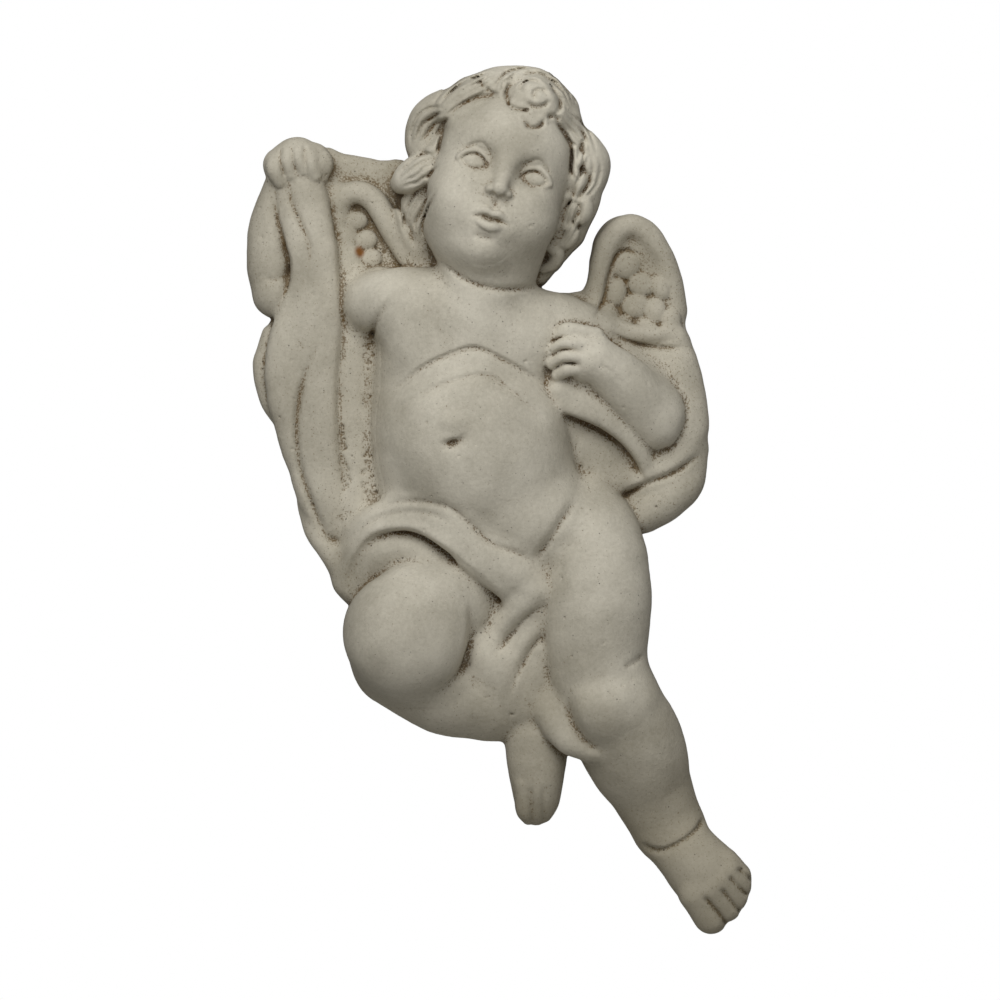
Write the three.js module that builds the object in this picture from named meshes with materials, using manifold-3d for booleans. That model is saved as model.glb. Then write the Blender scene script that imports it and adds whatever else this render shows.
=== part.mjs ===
// A winged infant cast in one piece as a wall relief, in high relief on a flat back.
// Millimetres, +Z up. The wall is the plane Y = 0 and the figure faces -Y.
// A place on the figure is [x, z, height], with the height measured out from the wall.
// A fourth number is the radius of the form at that place.
// The casting was pulled straight off its mould, so every form runs straight back to the wall.

import * as THREE from "three";
import { mergeVertices } from "three/addons/utils/BufferGeometryUtils.js";
import Module from "manifold-3d";

const wasm = await Module();
wasm.setup();

// Driving dimensions
const FIGURE_HEIGHT = 260; // crown of the hair to the lowest toe, as hung
const DRAWN_HEIGHT = 260; // the figure height that the places below are drawn for
const GROUND_HEIGHT = 9; // cloth and wing ground, out from the wall
const GROUND_ROUND = 2.5; // rounding of the front edge of that ground
const FEATHER_HEIGHT = 9.5; // where the feathers' middles lie
const FEATHER_SWELL = 2.2; // how far the feathers swell out from there
const PAST_WALL = 2; // forms run this far past the wall before the back is cut flat
const DEEPEST = 80; // more than the figure stands out from the wall

// Head: its middle, how far it leans to its left, looks up and turns to its left
const HEAD_PLACE = [3, 36.6, 23];
const HEAD_LEAN = 16;
const HEAD_LIFT = 10;
const HEAD_TURN = 3;

// Rolled curl over the forehead, and the cloth's end between the thighs
const CURL_PLACE = [13.2, 58.8];
const CURL_RADIUS = 5.4;
const TAIL_PLEATS = 4;
const TAIL_TOP = [8.4, -85.2, 25];
const TAIL_MIDDLE = [7.8, -102, 20];
const TAIL_END = [7.8, -118.2, 12];

// The foot of the drawn-up leg
const SMALL_TOES = 4;
const SMALL_TOE_PLACE = [9.9, -147, 14];
const SMALL_TOE_STEP = 3;

// Fineness of the faceting
const SIDES_PER_ROOT_MM = 1.55; // a form twice as thick gets 1.4 times the facets round it
const LIMB_CAPS = 2; // rings that round off the end of a limb
const FOLD_CAPS = 1; // and of a fold, a lock or a finger
const OUTLINE_STEPS = 2;
const BODY_OVAL = [10, 6];
const BELLY_OVAL = [14, 8];
const SMALL_OVAL = [8, 4];

const STONE = { color: 0xb9b3a5, roughness: 0.85, metalness: 0 };
const FRONT = new THREE.Vector3(0, -1, 0);
const radians = THREE.MathUtils.degToRad;

function place([x, z, height]) {
  return new THREE.Vector3(x, -height, z);
}

function smoothLine(points, closed = false) {
  return new THREE.CatmullRomCurve3(points, closed, "catmullrom", 0.5);
}

// A surface with one point at each corner.
function welded(geometry) {
  geometry.deleteAttribute("normal");
  geometry.deleteAttribute("uv");
  return mergeVertices(geometry, 1e-4);
}

// A closed surface as a solid that can be joined and cut.
function solid(geometry) {
  const merged = welded(geometry);
  const corners = Array.from(merged.index.array);
  const kept = [];
  for (let i = 0; i < corners.length; i += 3) {
    const [a, b, c] = corners.slice(i, i + 3);
    if (a !== b && b !== c && c !== a) kept.push(a, b, c);
  }
  const vertProperties = merged.attributes.position.array;
  const triVerts = new Uint32Array(kept);
  return new wasm.Manifold(new wasm.Mesh({ numProp: 3, vertProperties, triVerts }));
}

// One ring of a swept form: round in front, running straight back past the wall behind.
function ring(middle, along, radius, sides) {
  const out = FRONT.clone().addScaledVector(along, -FRONT.dot(along)).normalize();
  const across = new THREE.Vector3().crossVectors(out, along);
  const points = [];
  for (let i = 0; i < sides; i++) {
    const angle = (2 * Math.PI * i) / sides;
    const point = middle.clone().addScaledVector(across, radius * Math.cos(angle));
    if (Math.sin(angle) < -1e-9) point.y = PAST_WALL;
    else point.addScaledVector(out, radius * Math.sin(angle));
    points.push(point);
  }
  return points;
}

// Rings joined into one closed surface, with a fan across each end.
function loft(rings, sides) {
  const middleOf = (points) => {
    const sum = points.reduce((total, point) => total.add(point), new THREE.Vector3());
    return sum.divideScalar(points.length);
  };
  const points = [...rings.flat(), middleOf(rings[0]), middleOf(rings.at(-1))];
  const last = (rings.length - 1) * sides;
  const faces = [];
  for (let i = 0; i < sides; i++) {
    const j = (i + 1) % sides;
    for (let k = 0; k < last; k += sides) {
      faces.push(k + i, k + j, k + sides + j, k + i, k + sides + j, k + sides + i);
    }
    faces.push(points.length - 2, j, i, points.length - 1, last + i, last + j);
  }
  return new THREE.BufferGeometry().setFromPoints(points).setIndex(faces);
}

// A form of changing radius along a smooth line, with domed ends.
function sweep(rows, caps) {
  const thickest = Math.max(...rows.map((row) => row[3]));
  const sides = 2 * Math.round(SIDES_PER_ROOT_MM * Math.sqrt(thickest));
  const line = smoothLine(rows.map(place));
  const girth = smoothLine(rows.map((row) => new THREE.Vector3(row[3], 0, 0)));
  const count = rows.length - 1;
  const ringAt = (t, past) => {
    const along = line.getTangent(t);
    const radius = girth.getPoint(t).x;
    const middle = line.getPoint(t).addScaledVector(along, radius * Math.sin(past));
    return ring(middle, along, radius * Math.cos(past), sides);
  };
  const capAngle = (i) => (1.5 * i) / caps;
  const rings = [];
  for (let i = caps; i > 0; i--) rings.push(ringAt(0, -capAngle(i)));
  for (let i = 0; i <= count; i++) rings.push(ringAt(i / count, 0));
  for (let i = 1; i <= caps; i++) rings.push(ringAt(1, capAngle(i)));
  return solid(loft(rings, sides));
}

const limb = (...rows) => sweep(rows, LIMB_CAPS);
const fold = (...rows) => sweep(rows, FOLD_CAPS);

// An oval swelling. The half that looks at the wall is carried straight back past it.
function oval([x, z, height], [across, out, up], frame, [sides, rings]) {
  const geometry = welded(new THREE.SphereGeometry(1, sides, rings));
  geometry.scale(across, out, up);
  geometry.applyMatrix4(frame);
  geometry.translate(x, -height, z);
  geometry.computeVertexNormals();
  const { position, normal } = geometry.attributes;
  for (let i = 0; i < position.count; i++) {
    if (normal.getY(i) > 0.05) position.setY(i, PAST_WALL);
  }
  return solid(geometry);
}

// Turned in the plane of the wall, clockwise as seen from the front.
function turned(degrees) {
  return new THREE.Matrix4().makeRotationY(radians(degrees));
}

const swelling = (middle, radii, turn = 0) => oval(middle, radii, turned(turn), BODY_OVAL);

// A low flat ground with a smooth outline and a rounded front edge.
function ground(outline) {
  const edge = smoothLine(outline.map(([x, z]) => new THREE.Vector3(x, z, 0)), true);
  const points = edge.getPoints(outline.length * OUTLINE_STEPS).slice(0, -1);
  const geometry = new THREE.ExtrudeGeometry(new THREE.Shape(points), {
    depth: GROUND_HEIGHT + PAST_WALL - GROUND_ROUND,
    bevelThickness: GROUND_ROUND,
    bevelSize: GROUND_ROUND,
    bevelOffset: -GROUND_ROUND,
    bevelSegments: 1,
  });
  geometry.rotateX(Math.PI / 2);
  geometry.translate(0, PAST_WALL, 0);
  return solid(geometry);
}

// The cloth held out by the raised hand, and the far wing with the sling below it.
function grounds() {
  return [
    ground([
      [-57, 41.1], [-49.5, 45.6], [-43.5, 43.5], [-33, 41.7], [-23.4, 39.6], [-12, 0], [-15, -66],
      [-33.6, -90.6], [-39.9, -90.6], [-45, -82.5], [-52.2, -74.7], [-56.7, -63.6], [-57.6, -51],
      [-62.4, -39], [-67.5, -31.2], [-69.3, -21], [-66.3, -7.5], [-61.5, 3], [-60, 30],
    ]),
    ground([
      [9, -3], [27.9, 2.7], [30.6, 11.4], [32.1, 18.6], [36.3, 23.4], [41.1, 24.9], [46.5, 23.1],
      [51.9, 17.4], [55.8, 9], [57.6, 0], [58.5, -8.1], [60, -15.6], [62.4, -25.5], [64.2, -36],
      [64.2, -43.5], [62.4, -51.6], [58.8, -59.4], [52.2, -65.4], [44.4, -69], [33, -63.6], [12, -51],
    ]),
  ];
}

// Two wings: a raised rim round rows of short rounded feathers.
function wings() {
  const near = [
    [40.8, 10.8, 4.5, 4.5, 0],
    [36.3, 2.7, 3.6, 4.5, 25],
    [45.3, 4.5, 4.2, 4.2, 0],
    [33.9, -4.8, 3.9, 4.2, 20],
    [42, -1.5, 3.9, 4.5, 0],
    [49.8, -0.6, 3.6, 5.1, -10],
    [47.4, -6.6, 3.9, 4.5, 0],
    [53.4, -6, 3.3, 4.8, 0],
  ];
  const far = [
    [-39, 22.2, 3.9, 3.3, 0],
    [-42, 16.8, 3.3, 3.3, 10],
    [-35.7, 16.5, 3.6, 3.3, 0],
    [-40.2, 11.4, 3.3, 3, 0],
    [-35.1, 10.2, 3.6, 3, 0],
  ];
  const feather = ([x, z, wide, long, turn]) =>
    oval([x, z, FEATHER_HEIGHT], [wide, FEATHER_SWELL, long], turned(turn), SMALL_OVAL);
  return [
    fold(
      [29.4, -1.5, 9, 4], [33.3, 12, 11, 4.2], [35.7, 18.6, 12, 4.4], [41.1, 21.3, 12.5, 4.4],
      [47.4, 18.9, 12, 4.4], [52.2, 11.7, 11.5, 4.2], [55.5, -7.5, 9, 3.2],
    ),
    fold(
      [-45.9, 25.5, 8.5, 2.6], [-43.5, 30.3, 11, 3.6], [-38.4, 31.8, 12.5, 3.8], [-32.7, 28.2, 13, 3.8],
      [-28.2, 19.2, 13, 3.6], [-24, 11.4, 12.5, 3.6], [-19.8, 7.2, 11.5, 3],
    ),
    ...near.map(feather),
    ...far.map(feather),
  ];
}

function trunk() {
  return [
    limb([-7.2, -7.8, 10, 21], [-6.6, -25.5, 10, 22.5], [-3, -44.4, 9, 25.5], [6.6, -61.5, 9, 22.5]),
    swelling([-5.4, -10.8, 17], [30, 14.5, 17]), // breast
    oval([-4.8, -40.2, 18], [26, 20, 25], turned(0), BELLY_OVAL),
    limb([-23.4, -10.5, 14, 9.5], [-24, -30, 13, 10], [-22.8, -49.5, 13, 11], [-18, -60, 13, 12]),
    swelling([13.5, -66, 10], [20, 18, 16]), // hip
    limb([-3.6, -3, 20, 14], [0.6, 11.4, 22, 14]), // neck
    limb([-12, -4.5, 18, 12], [-25.5, -1.2, 20, 11.5], [-33.6, -0.6, 18, 11], [-46.5, -0.6, 11, 8.5]),
    limb([3, -7.5, 18, 12], [19.8, -7.8, 17, 9.5], [30, -10.5, 13, 8.5]),
  ];
}

// The arm held up with a fist of cloth, and the one folded across the chest.
function arms() {
  const knuckles = [[-64.2, 39.9], [-60.9, 41.7], [-57.3, 42.6], [-53.7, 41.7]];
  const fingers = [
    [[30.6, -11.1, 28.5], [24.6, -9.3, 29.5], [20.1, -10.5, 27.5]],
    [[30.6, -13.8, 30], [24, -12.3, 31.5], [19.2, -14.1, 28.5]],
    [[30, -17.1, 30.5], [23.1, -16.2, 31.5], [18.6, -18.3, 28]],
    [[28.8, -21, 29.5], [23.4, -21, 30], [19.2, -22.5, 27.5]],
  ];
  return [
    limb([-48, 0, 10, 8], [-63.3, 1.8, 10.5, 7.6]),
    limb([-64.2, 3, 11, 7.6], [-64.8, 12, 13, 7.9], [-63.9, 24, 13, 7.7], [-60.6, 34.8, 14, 6.9]),
    limb([-63.3, 40.2, 15, 5.4], [-57.6, 42.9, 16, 6], [-52.2, 40.5, 14.5, 4.8]),
    ...knuckles.map(([x, z]) =>
      fold([x + 0.9, z + 1.8, 17, 2.7], [x - 0.3, z - 0.6, 20, 2.8], [x + 0.9, z - 3, 18, 2.4]),
    ),
    fold([-52.2, 43.5, 15, 3.2], [-50.4, 40.5, 15, 3.2], [-51, 36.6, 13, 2.6]), // thumb
    limb([33, -10.5, 13, 8], [46.5, -21.6, 14, 9], [50.4, -33.6, 17, 10.5]),
    limb([49.5, -36.3, 19, 10.9], [43.5, -28.2, 22, 10.6], [36, -20.7, 26, 8.4], [30, -17.4, 28, 6.8]),
    ...fingers.map(([root, knuckle, tip]) =>
      fold([...root, 2.8], [...knuckle, 2.7], [...tip, 2.2]),
    ),
  ];
}

// One leg straight and turned out, the other drawn up with its shin crossing behind.
function legs() {
  const toes = [
    [[60.6, -178.8, 15, 4.4], [66, -185.7, 12, 4.6]],
    [[65.4, -176.7, 16.5, 3.3], [71.4, -183.9, 12.5, 3.2]],
    [[68.7, -173.7, 16.5, 3.1], [74.1, -180.3, 12.5, 3]],
    [[71.7, -170.4, 16, 2.9], [76.2, -176.1, 12, 2.8]],
    [[74.1, -167.1, 14.5, 2.8], [77.4, -171.6, 11.5, 2.6]],
  ];
  const smallToes = [];
  for (let i = 0; i < SMALL_TOES; i++) {
    const x = SMALL_TOE_PLACE[0] + SMALL_TOE_STEP * i;
    const z = SMALL_TOE_PLACE[1];
    const height = SMALL_TOE_PLACE[2] - i;
    smallToes.push([[x, z, height, 2.7], [x, z - 7.4 + 0.5 * i, height - 1.5, 2.6]]);
  }
  return [
    limb(
      [30.6, -60.9, 12, 8.5], [31.2, -73.5, 15, 14.5], [31.2, -90, 17, 17], [30.6, -105, 17, 16.4],
      [33, -120, 17, 15.8],
    ),
    swelling([33, -121.8, 27], [10.5, 8, 10]),
    limb([36.3, -123, 16, 15.8], [42.3, -133.8, 15, 16.4], [48, -145.2, 14, 14.6], [53.7, -157.8, 12, 11.2]),
    limb([-4.5, -73.5, 13, 15], [-15, -87, 19, 17.8], [-24, -99.9, 24, 19.2]),
    swelling([-24.9, -102.6, 26], [18.5, 15, 17]),
    limb([-25.5, -107.4, 16, 16.6], [-13.5, -116.1, 15, 15], [-2.1, -119.7, 13, 13.2], [6.6, -123.9, 9, 10]),
    limb([3, -78, 6, 15], [9, -102, 6, 15], [13.5, -117, 6, 13]),
    limb([13.8, -132, 10, 9.9], [14.1, -142.5, 10, 8.6], [14.1, -149.4, 7.5, 7]),
    ...smallToes.map((rows) => fold(...rows)),
    limb([54.3, -159.6, 11.5, 10.4], [59.4, -166.2, 12, 11.6], [63.3, -171, 10, 12], [65.4, -174, 8, 10.8]),
    ...toes.map((rows) => fold(...rows)),
  ];
}

// The head's own axes as seen from the front: to the right, inward, and up through the crown.
function headAxes() {
  const right = new THREE.Vector3(1, 0, 0);
  const up = new THREE.Vector3(0, 0, 1);
  const inward = new THREE.Vector3(0, 1, 0);
  const axes = [right, inward, up];
  const turn = (axis, degrees) => {
    const about = axis.clone();
    axes.forEach((each) => each.applyAxisAngle(about, radians(degrees)));
  };
  turn(inward, HEAD_LEAN);
  turn(right, -HEAD_LIFT);
  turn(up, HEAD_TURN);
  return new THREE.Matrix4().makeBasis(right, inward, up);
}

// A child's face in ordinary proportions: eyes at mid height, full cheeks, small nose and mouth.
function head() {
  const axes = headAxes();
  const on = (right, up, out) => {
    const spot = new THREE.Vector3(right, -out, up).applyMatrix4(axes).add(place(HEAD_PLACE));
    return [spot.x, spot.z, -spot.y];
  };
  const lobe = (middle, radii, fine = BODY_OVAL) => oval(on(...middle), radii, axes, fine);
  const line = (...rows) => fold(...rows.map(([r, u, o, radius]) => [...on(r, u, o), radius]));
  const sides = [-1, 1];
  const flesh = [
    lobe([0, 6, 1], [21.5, 23, 21.5]), // skull and forehead
    lobe([0, -12, 1], [20.5, 21.5, 19.5]), // jaw
    ...sides.map((s) => lobe([s * 10, -13, 10], [11, 10.4, 11])), // cheeks
    lobe([0, -24, 11.5], [8.5, 7.5, 7]), // chin
  ].reduce((all, form) => all.add(form));
  const sockets = sides.map((s) => {
    const hollow = new THREE.SphereGeometry(1, ...SMALL_OVAL);
    hollow.scale(6, 4.6, 3.8);
    hollow.applyMatrix4(axes);
    hollow.translate(...place(on(s * 9.4, -1, 26)).toArray());
    return solid(hollow);
  });
  return [
    sockets.reduce((all, hollow) => all.subtract(hollow), flesh),
    ...sides.map((s) => lobe([s * 9.2, -1.5, 18.4], [4.8, 4.6, 3.7], SMALL_OVAL)), // eyes
    line([0, 3, 21, 2.6], [0, -3.5, 23.6, 2.7], [0, -7.5, 25.2, 2.9]), // nose
    ...sides.map((s) => lobe([s * 2.8, -8.3, 22.8], [2.2, 2.4, 1.9], SMALL_OVAL)),
    line([-5, -15.4, 21.9, 0.8], [0, -14, 23.9, 1.3], [5, -15.4, 21.9, 0.8]), // lips
    line([-4.2, -16.9, 21.9, 0.8], [0, -17.9, 23.3, 1.6], [4.2, -16.9, 21.9, 0.8]),
  ];
}

// Loose locks all round the head, with one rolled curl over the forehead.
function hair() {
  const curl = [];
  for (let i = 0; i < 7; i++) {
    const angle = radians(200 - 48 * i);
    const reach = CURL_RADIUS - 0.3 * i;
    const x = CURL_PLACE[0] + reach * Math.cos(angle);
    const z = CURL_PLACE[1] + 0.9 * reach * Math.sin(angle);
    curl.push([x, z, 42 + 0.25 * i, 2.7]);
  }
  return [
    fold([-11.4, 55.8, 26, 7], [-16.8, 52.8, 24, 8], [-18.9, 47.7, 22, 6.6], [-19.8, 42, 23, 5]),
    fold([-10.2, 51, 34, 3], [-13.8, 45, 34, 3.2], [-18.6, 40.5, 30, 3.6], [-22.8, 36.6, 24, 3]),
    fold([-16.2, 39, 31, 3.4], [-18.9, 35.4, 27, 5], [-22.8, 33, 22, 4]),
    fold([-19.8, 31.8, 20, 5], [-23.1, 23.4, 16, 6], [-21, 15, 14, 5.4], [-18, 7.8, 13, 3.8]),
    fold([-11.4, 55.8, 33, 5], [-6, 60.3, 32, 6], [1.2, 63, 32, 6]),
    fold([-4.8, 59.1, 26, 8.5], [3.9, 61.5, 26, 9], [12.6, 61.2, 26, 9], [18.3, 57, 24, 8]),
    fold([3, 60.6, 39, 3.8], [6.6, 64.2, 34, 4.2], [12, 65.4, 31, 4.2], [17.4, 62.4, 30, 4]),
    fold(...curl),
    fold([9.6, 55.2, 42, 2.6], [12.6, 51.9, 43, 2.9], [16.5, 53.1, 41.5, 2.5]),
    fold([18.6, 58.8, 32, 5], [21.6, 53.4, 28, 5.2], [23.7, 48.9, 26, 4.6]),
    fold([24, 49.2, 28, 4.8], [29.1, 43.2, 24, 5.8], [30, 38.1, 22, 5.6], [26.1, 33, 24, 4.2]),
    fold([24, 42, 30, 3], [26.7, 38.4, 29, 3.2], [23.7, 33.6, 30, 3], [21.9, 28.5, 27, 2.8]),
    fold(
      [27.9, 30.9, 20, 5.2], [25.2, 24.9, 19, 5], [23.1, 19.5, 17, 4.2], [18.9, 12.9, 15, 3.4],
      [14.4, 7.2, 14, 2.8],
    ),
    fold([22.2, 28.5, 25, 3], [21, 22.5, 22, 3], [19.2, 16.5, 19, 2.6]),
  ];
}

// Cloth falling from the raised hand, rolled round the hips and gathered in the other hand.
function drapery() {
  return [
    fold(
      [-59.4, 36.6, 14, 3.4], [-56.4, 16.5, 16, 4.3], [-56.4, -3, 16, 5.2], [-59.4, -18, 15.5, 5.4],
      [-59.7, -31.5, 14.5, 5.2], [-54.6, -49.5, 12.5, 4.8], [-48.6, -68.4, 9.5, 3.2],
    ),
    fold(
      [-55.2, 37.2, 15, 3.8], [-50.7, 19.5, 16, 5.1], [-48.9, -1.5, 15.5, 5.4], [-51.6, -22.5, 14.5, 5.6],
      [-51.3, -42, 12.5, 5.8], [-46.8, -60, 10, 5],
    ),
    fold(
      [-50.4, 34.5, 11, 2.6], [-45.3, 15, 11.5, 3], [-44.7, -9, 10.5, 3.2], [-43.8, -48, 8.5, 3.4],
    ),
    fold([-64.2, -11.4, 9, 2.8], [-66, -19.5, 10, 3.3], [-65.1, -27.6, 10, 3.3], [-60.6, -36, 9, 2.6]),
    fold([-54, -60, 7, 2.6], [-51.9, -69, 8.5, 2.8], [-48, -74.4, 10, 3], [-42.9, -76.2, 11, 3.2]),
    fold(
      [-41.4, -85.8, 8, 3], [-38.7, -75.9, 14, 3.8], [-31.8, -67.8, 20, 4.4], [-21, -65.1, 25, 4.8],
      [-8.4, -70.2, 28.5, 4.8], [2.1, -78.9, 28.5, 4.7], [9.6, -87.6, 25, 3.6],
    ),
    fold(
      [-39, -70.5, 10, 3.2], [-31.5, -63.6, 15, 3.7], [-17.4, -62.1, 22, 3.8], [-6.6, -66.6, 25.5, 3.6],
      [5.4, -75.9, 25.5, 2.6],
    ),
    fold(
      [-37.8, -87, 14, 3], [-31.8, -77.4, 23, 3.1], [-21, -74.7, 27.5, 3.2], [-8.4, -80.1, 27.5, 3.1],
      [1.8, -89.4, 24, 2.8],
    ),
    ...tail(),
    fold(
      [21.6, -26.4, 24, 3.8], [28.8, -29.4, 23, 4.8], [36.6, -33.6, 21.5, 5], [43.2, -40.2, 19, 4.4],
      [46.8, -47.4, 16, 3.4], [48, -52.2, 13, 2.2],
    ),
    fold(
      [19.5, -28.5, 20, 3], [18.9, -36, 18, 3.4], [24.6, -44.4, 15, 3.6], [33, -50.4, 13, 3.6],
      [40.2, -53.4, 11, 3.2], [45.6, -51, 11, 2.8],
    ),
    fold([34.2, -8.1, 15.5, 2.2], [42, -9, 15.5, 3], [50.4, -9.9, 13.5, 3], [57.6, -10.5, 10, 3]),
    fold(
      [57, -13.5, 9, 4], [59.1, -25.5, 9.5, 4], [60.3, -37.5, 10, 4], [58.2, -46.5, 10.5, 4],
      [52.5, -51, 10.5, 3.6], [48, -53.4, 10.5, 3],
    ),
    fold([57.6, -53.4, 8, 5.5], [52.8, -58.8, 9, 6.3], [46.5, -63, 8.5, 6]),
  ];
}

// The cloth's end falls between the thighs in pleats that fan out and tuck in behind the shin.
function tail() {
  const pleats = [];
  for (let i = 0; i < TAIL_PLEATS; i++) {
    const fan = i / (TAIL_PLEATS - 1) - 0.5;
    const at = ([x, z, height], width, radius) => [x + width * fan, z, height, radius];
    pleats.push(fold(at(TAIL_TOP, 6, 2.6), at(TAIL_MIDDLE, 12, 3), at(TAIL_END, 17, 3.2)));
  }
  return pleats;
}

// Everything joined and cut flat at the wall. Air trapped inside is filled.
function putto() {
  const forms = [grounds, wings, trunk, arms, legs, head, hair, drapery].flatMap((make) => make());
  const joined = forms.reduce((all, form) => all.add(form));
  const block = new THREE.BoxGeometry(4 * FIGURE_HEIGHT, DEEPEST, 4 * FIGURE_HEIGHT);
  block.translate(0, -DEEPEST / 2, 0);
  const figure = joined.scale(FIGURE_HEIGHT / DRAWN_HEIGHT).intersect(solid(block));
  const pieces = figure.decompose();
  return pieces.reduce((most, piece) => (piece.volume() > most.volume() ? piece : most));
}

function mesh(name, shape) {
  const { vertProperties, triVerts } = shape.getMesh();
  const geometry = new THREE.BufferGeometry();
  geometry.setAttribute("position", new THREE.BufferAttribute(new Float32Array(vertProperties), 3));
  geometry.setIndex(Array.from(triVerts));
  geometry.computeVertexNormals();
  const result = new THREE.Mesh(geometry, new THREE.MeshStandardMaterial(STONE));
  result.name = name;
  return result;
}

const statue = new THREE.Group();
statue.name = "wall_putto";
statue.add(mesh("putto", putto()));

export default statue;
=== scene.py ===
"""Cast stone putto: a winged child in high relief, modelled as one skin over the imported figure."""

import math
from functools import partial

import bpy
import numpy as np
import openvdb
from bpy.props import FloatProperty, FloatVectorProperty, IntProperty, PointerProperty, StringProperty
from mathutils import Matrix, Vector


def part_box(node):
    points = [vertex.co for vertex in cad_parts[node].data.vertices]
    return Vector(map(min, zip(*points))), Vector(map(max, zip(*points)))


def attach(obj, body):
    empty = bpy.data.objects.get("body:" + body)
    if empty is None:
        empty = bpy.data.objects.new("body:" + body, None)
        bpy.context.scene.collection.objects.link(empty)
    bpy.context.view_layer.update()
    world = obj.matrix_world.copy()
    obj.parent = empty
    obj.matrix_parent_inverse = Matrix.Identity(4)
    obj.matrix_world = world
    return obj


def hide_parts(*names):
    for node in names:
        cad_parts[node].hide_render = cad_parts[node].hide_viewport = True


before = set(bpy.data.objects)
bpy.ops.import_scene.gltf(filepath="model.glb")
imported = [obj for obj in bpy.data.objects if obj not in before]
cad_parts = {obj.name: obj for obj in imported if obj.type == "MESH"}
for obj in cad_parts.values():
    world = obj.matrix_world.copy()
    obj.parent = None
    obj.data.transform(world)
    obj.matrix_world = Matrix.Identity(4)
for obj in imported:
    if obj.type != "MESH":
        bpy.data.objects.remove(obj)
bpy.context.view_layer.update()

bl_info = {
    "name": "Cast stone putto",
    "version": (1, 0, 0),
    "blender": (4, 5, 0),
    "location": "View3D > Sidebar > Putto",
    "description": "Models a wall-hung putto in cast stone, and the studio it is shown in",
    "category": "Add Mesh",
}

# Places on the figure are (x, z, out) in millimetres, as the figure hangs: x to the viewer's
# right, z up, out from the wall. A fourth number is the radius of the form at that place.
# They are drawn for a figure of DRAWN_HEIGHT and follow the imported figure's own height.
MM = 0.001
DRAWN_HEIGHT = 259.4
NODE = "putto"
BODY = "root"
LOW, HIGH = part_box(NODE)
SCALE = (HIGH.z - LOW.z) / (DRAWN_HEIGHT * MM)

GROUND = 9.0  # cloth and wing ground, out from the wall
CREASE_RISE = 5.0  # creases come in over this much height, so that the edge near the wall stays whole
DRAFT = 0.02  # how much each form widens towards the wall, so that the mould comes off
FAR = 30.0  # distance that stands for "nowhere near the figure"
REACH = 4.0  # distances are kept true at least this far from each form

FOREHEAD_CURL = (13.2, 58.8, 42.0)
HEAD_PLACE = (3, 36.6, 23.0)
HEAD_LEAN = 16.0
HEAD_LIFT = 10.0
HEAD_TURN = 3.0
LEFT_RIGHT = (-1, 1)
EYE = (9.2, -1.9, 15.0)  # right, up and out on the head
EYE_RADII = (5.4, 4.6, 4.6)
UPPER_LID = ((4.6, -2.6), (6.4, 0.1), (9.1, 1.3), (12, 0.3), (13.8, -2))
LOWER_LID = ((4.6, -2.6), (6.8, -4.3), (9.3, -5.0), (11.9, -4.2), (13.8, -2))

CREVICE_REACH = 1.5  # how far round a point its crevice is judged
HOLLOW_REACH = 5.0
RUST_PLACE = (-39.3, -10.7, 14.0)  # x, y, z of the rust spot on the far wing
RUST_SIZE = 2.5
RUST_CORE = 0.35  # share of the spot that is rusted through
CLOUD_SIZE = 28.0  # sizes of the patterns in the stone
PATCH_SIZE = 6.0
GRIT_SIZE = 1.2  # drawn coarser than real grit, which is too fine to show
SPECK_SIZE = 0.55
PINHOLE_SPACING = 1.3
SHADE_AND_SPECKS_OUT = (26.0, 8.0)  # painted shade and soiling specks set in from here to here, out from the wall
SHADE_DOWN = (-90.0, -180.0)  # and painted shade deepens between these heights, towards the feet
PIT_SEED = 11
WAVE_SEED = 5
STRAND_SEED = 3
WAVES = ((7.0, 0.14), (2.5, 0.05))  # length and height of the face's waviness
BUBBLES = 90
STIPPLES = 620
BUBBLE_SIZES = (0.32, 0.5)
STIPPLE_SIZES = (0.4, 0.6)
SIDE_ROOM, BACK_ROOM, FRONT_ROOM = 3.0, 2.0, 6.0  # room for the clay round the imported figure

# The studio, in metres but for the paint's orange peel in millimetres.
KEY_PLACE, KEY_SIZE = (-0.08, -0.6, 0.32), 0.5
FILL_PLACE, FILL_SIZE = (0.9, -2.2, 0.3), 1.4
PEEL_SIZE, PEEL_HEIGHT = 3.0, 0.0002


def smooth_line(points, steps, closed=False):
    """Catmull-Rom line through the points, with that many steps between each two."""
    p = np.array(points, float)
    if closed:
        ends = np.vstack([p[-1:], p, p[:2]])
    elif len(p) == 2:
        return np.linspace(p[0], p[1], steps + 1)
    else:
        ends = np.vstack([2 * p[0] - p[1], p, 2 * p[-1] - p[-2]])
    t = np.linspace(0, 1, steps, endpoint=False)[:, None]
    runs = []
    for a, b, c, d in zip(ends, ends[1:], ends[2:], ends[3:]):
        bend, turn = a - 2.5 * b + 2 * c - d / 2, 1.5 * (b - c) + (d - a) / 2
        runs.append(b + (c - a) * t / 2 + bend * t**2 + turn * t**3)
    if not closed:
        runs.append(p[-1:])
    return np.vstack(runs)


def smooth_min(a, b, blend):
    """The lesser of two distances, with a fillet where they are alike."""
    if blend <= 0:
        return np.minimum(a, b)
    near = np.maximum(blend - np.abs(a - b), 0) / blend
    return np.minimum(a, b) - near * near * blend / 4


def distance_to_line(x, z, line):
    """Distance in the plane of the wall to a line, the share of the line passed, and its left side."""
    best = np.full(np.broadcast(x, z).shape, FAR)
    along = np.zeros_like(best)
    left = np.zeros(best.shape, bool)
    last = len(line) - 1
    for i, ((ax, az), (bx, bz)) in enumerate(zip(line[:-1], line[1:])):
        dx, dz = bx - ax, bz - az
        t = np.clip(((x - ax) * dx + (z - az) * dz) / (dx * dx + dz * dz + 1e-9), 0, 1)
        far = np.hypot(x - ax - t * dx, z - az - t * dz)
        nearer = far < best
        along = np.where(nearer, (i + t) / last, along)
        left = np.where(nearer, dx * (z - az) > dz * (x - ax), left)
        best = np.minimum(best, far)
    return best, along, left


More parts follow.
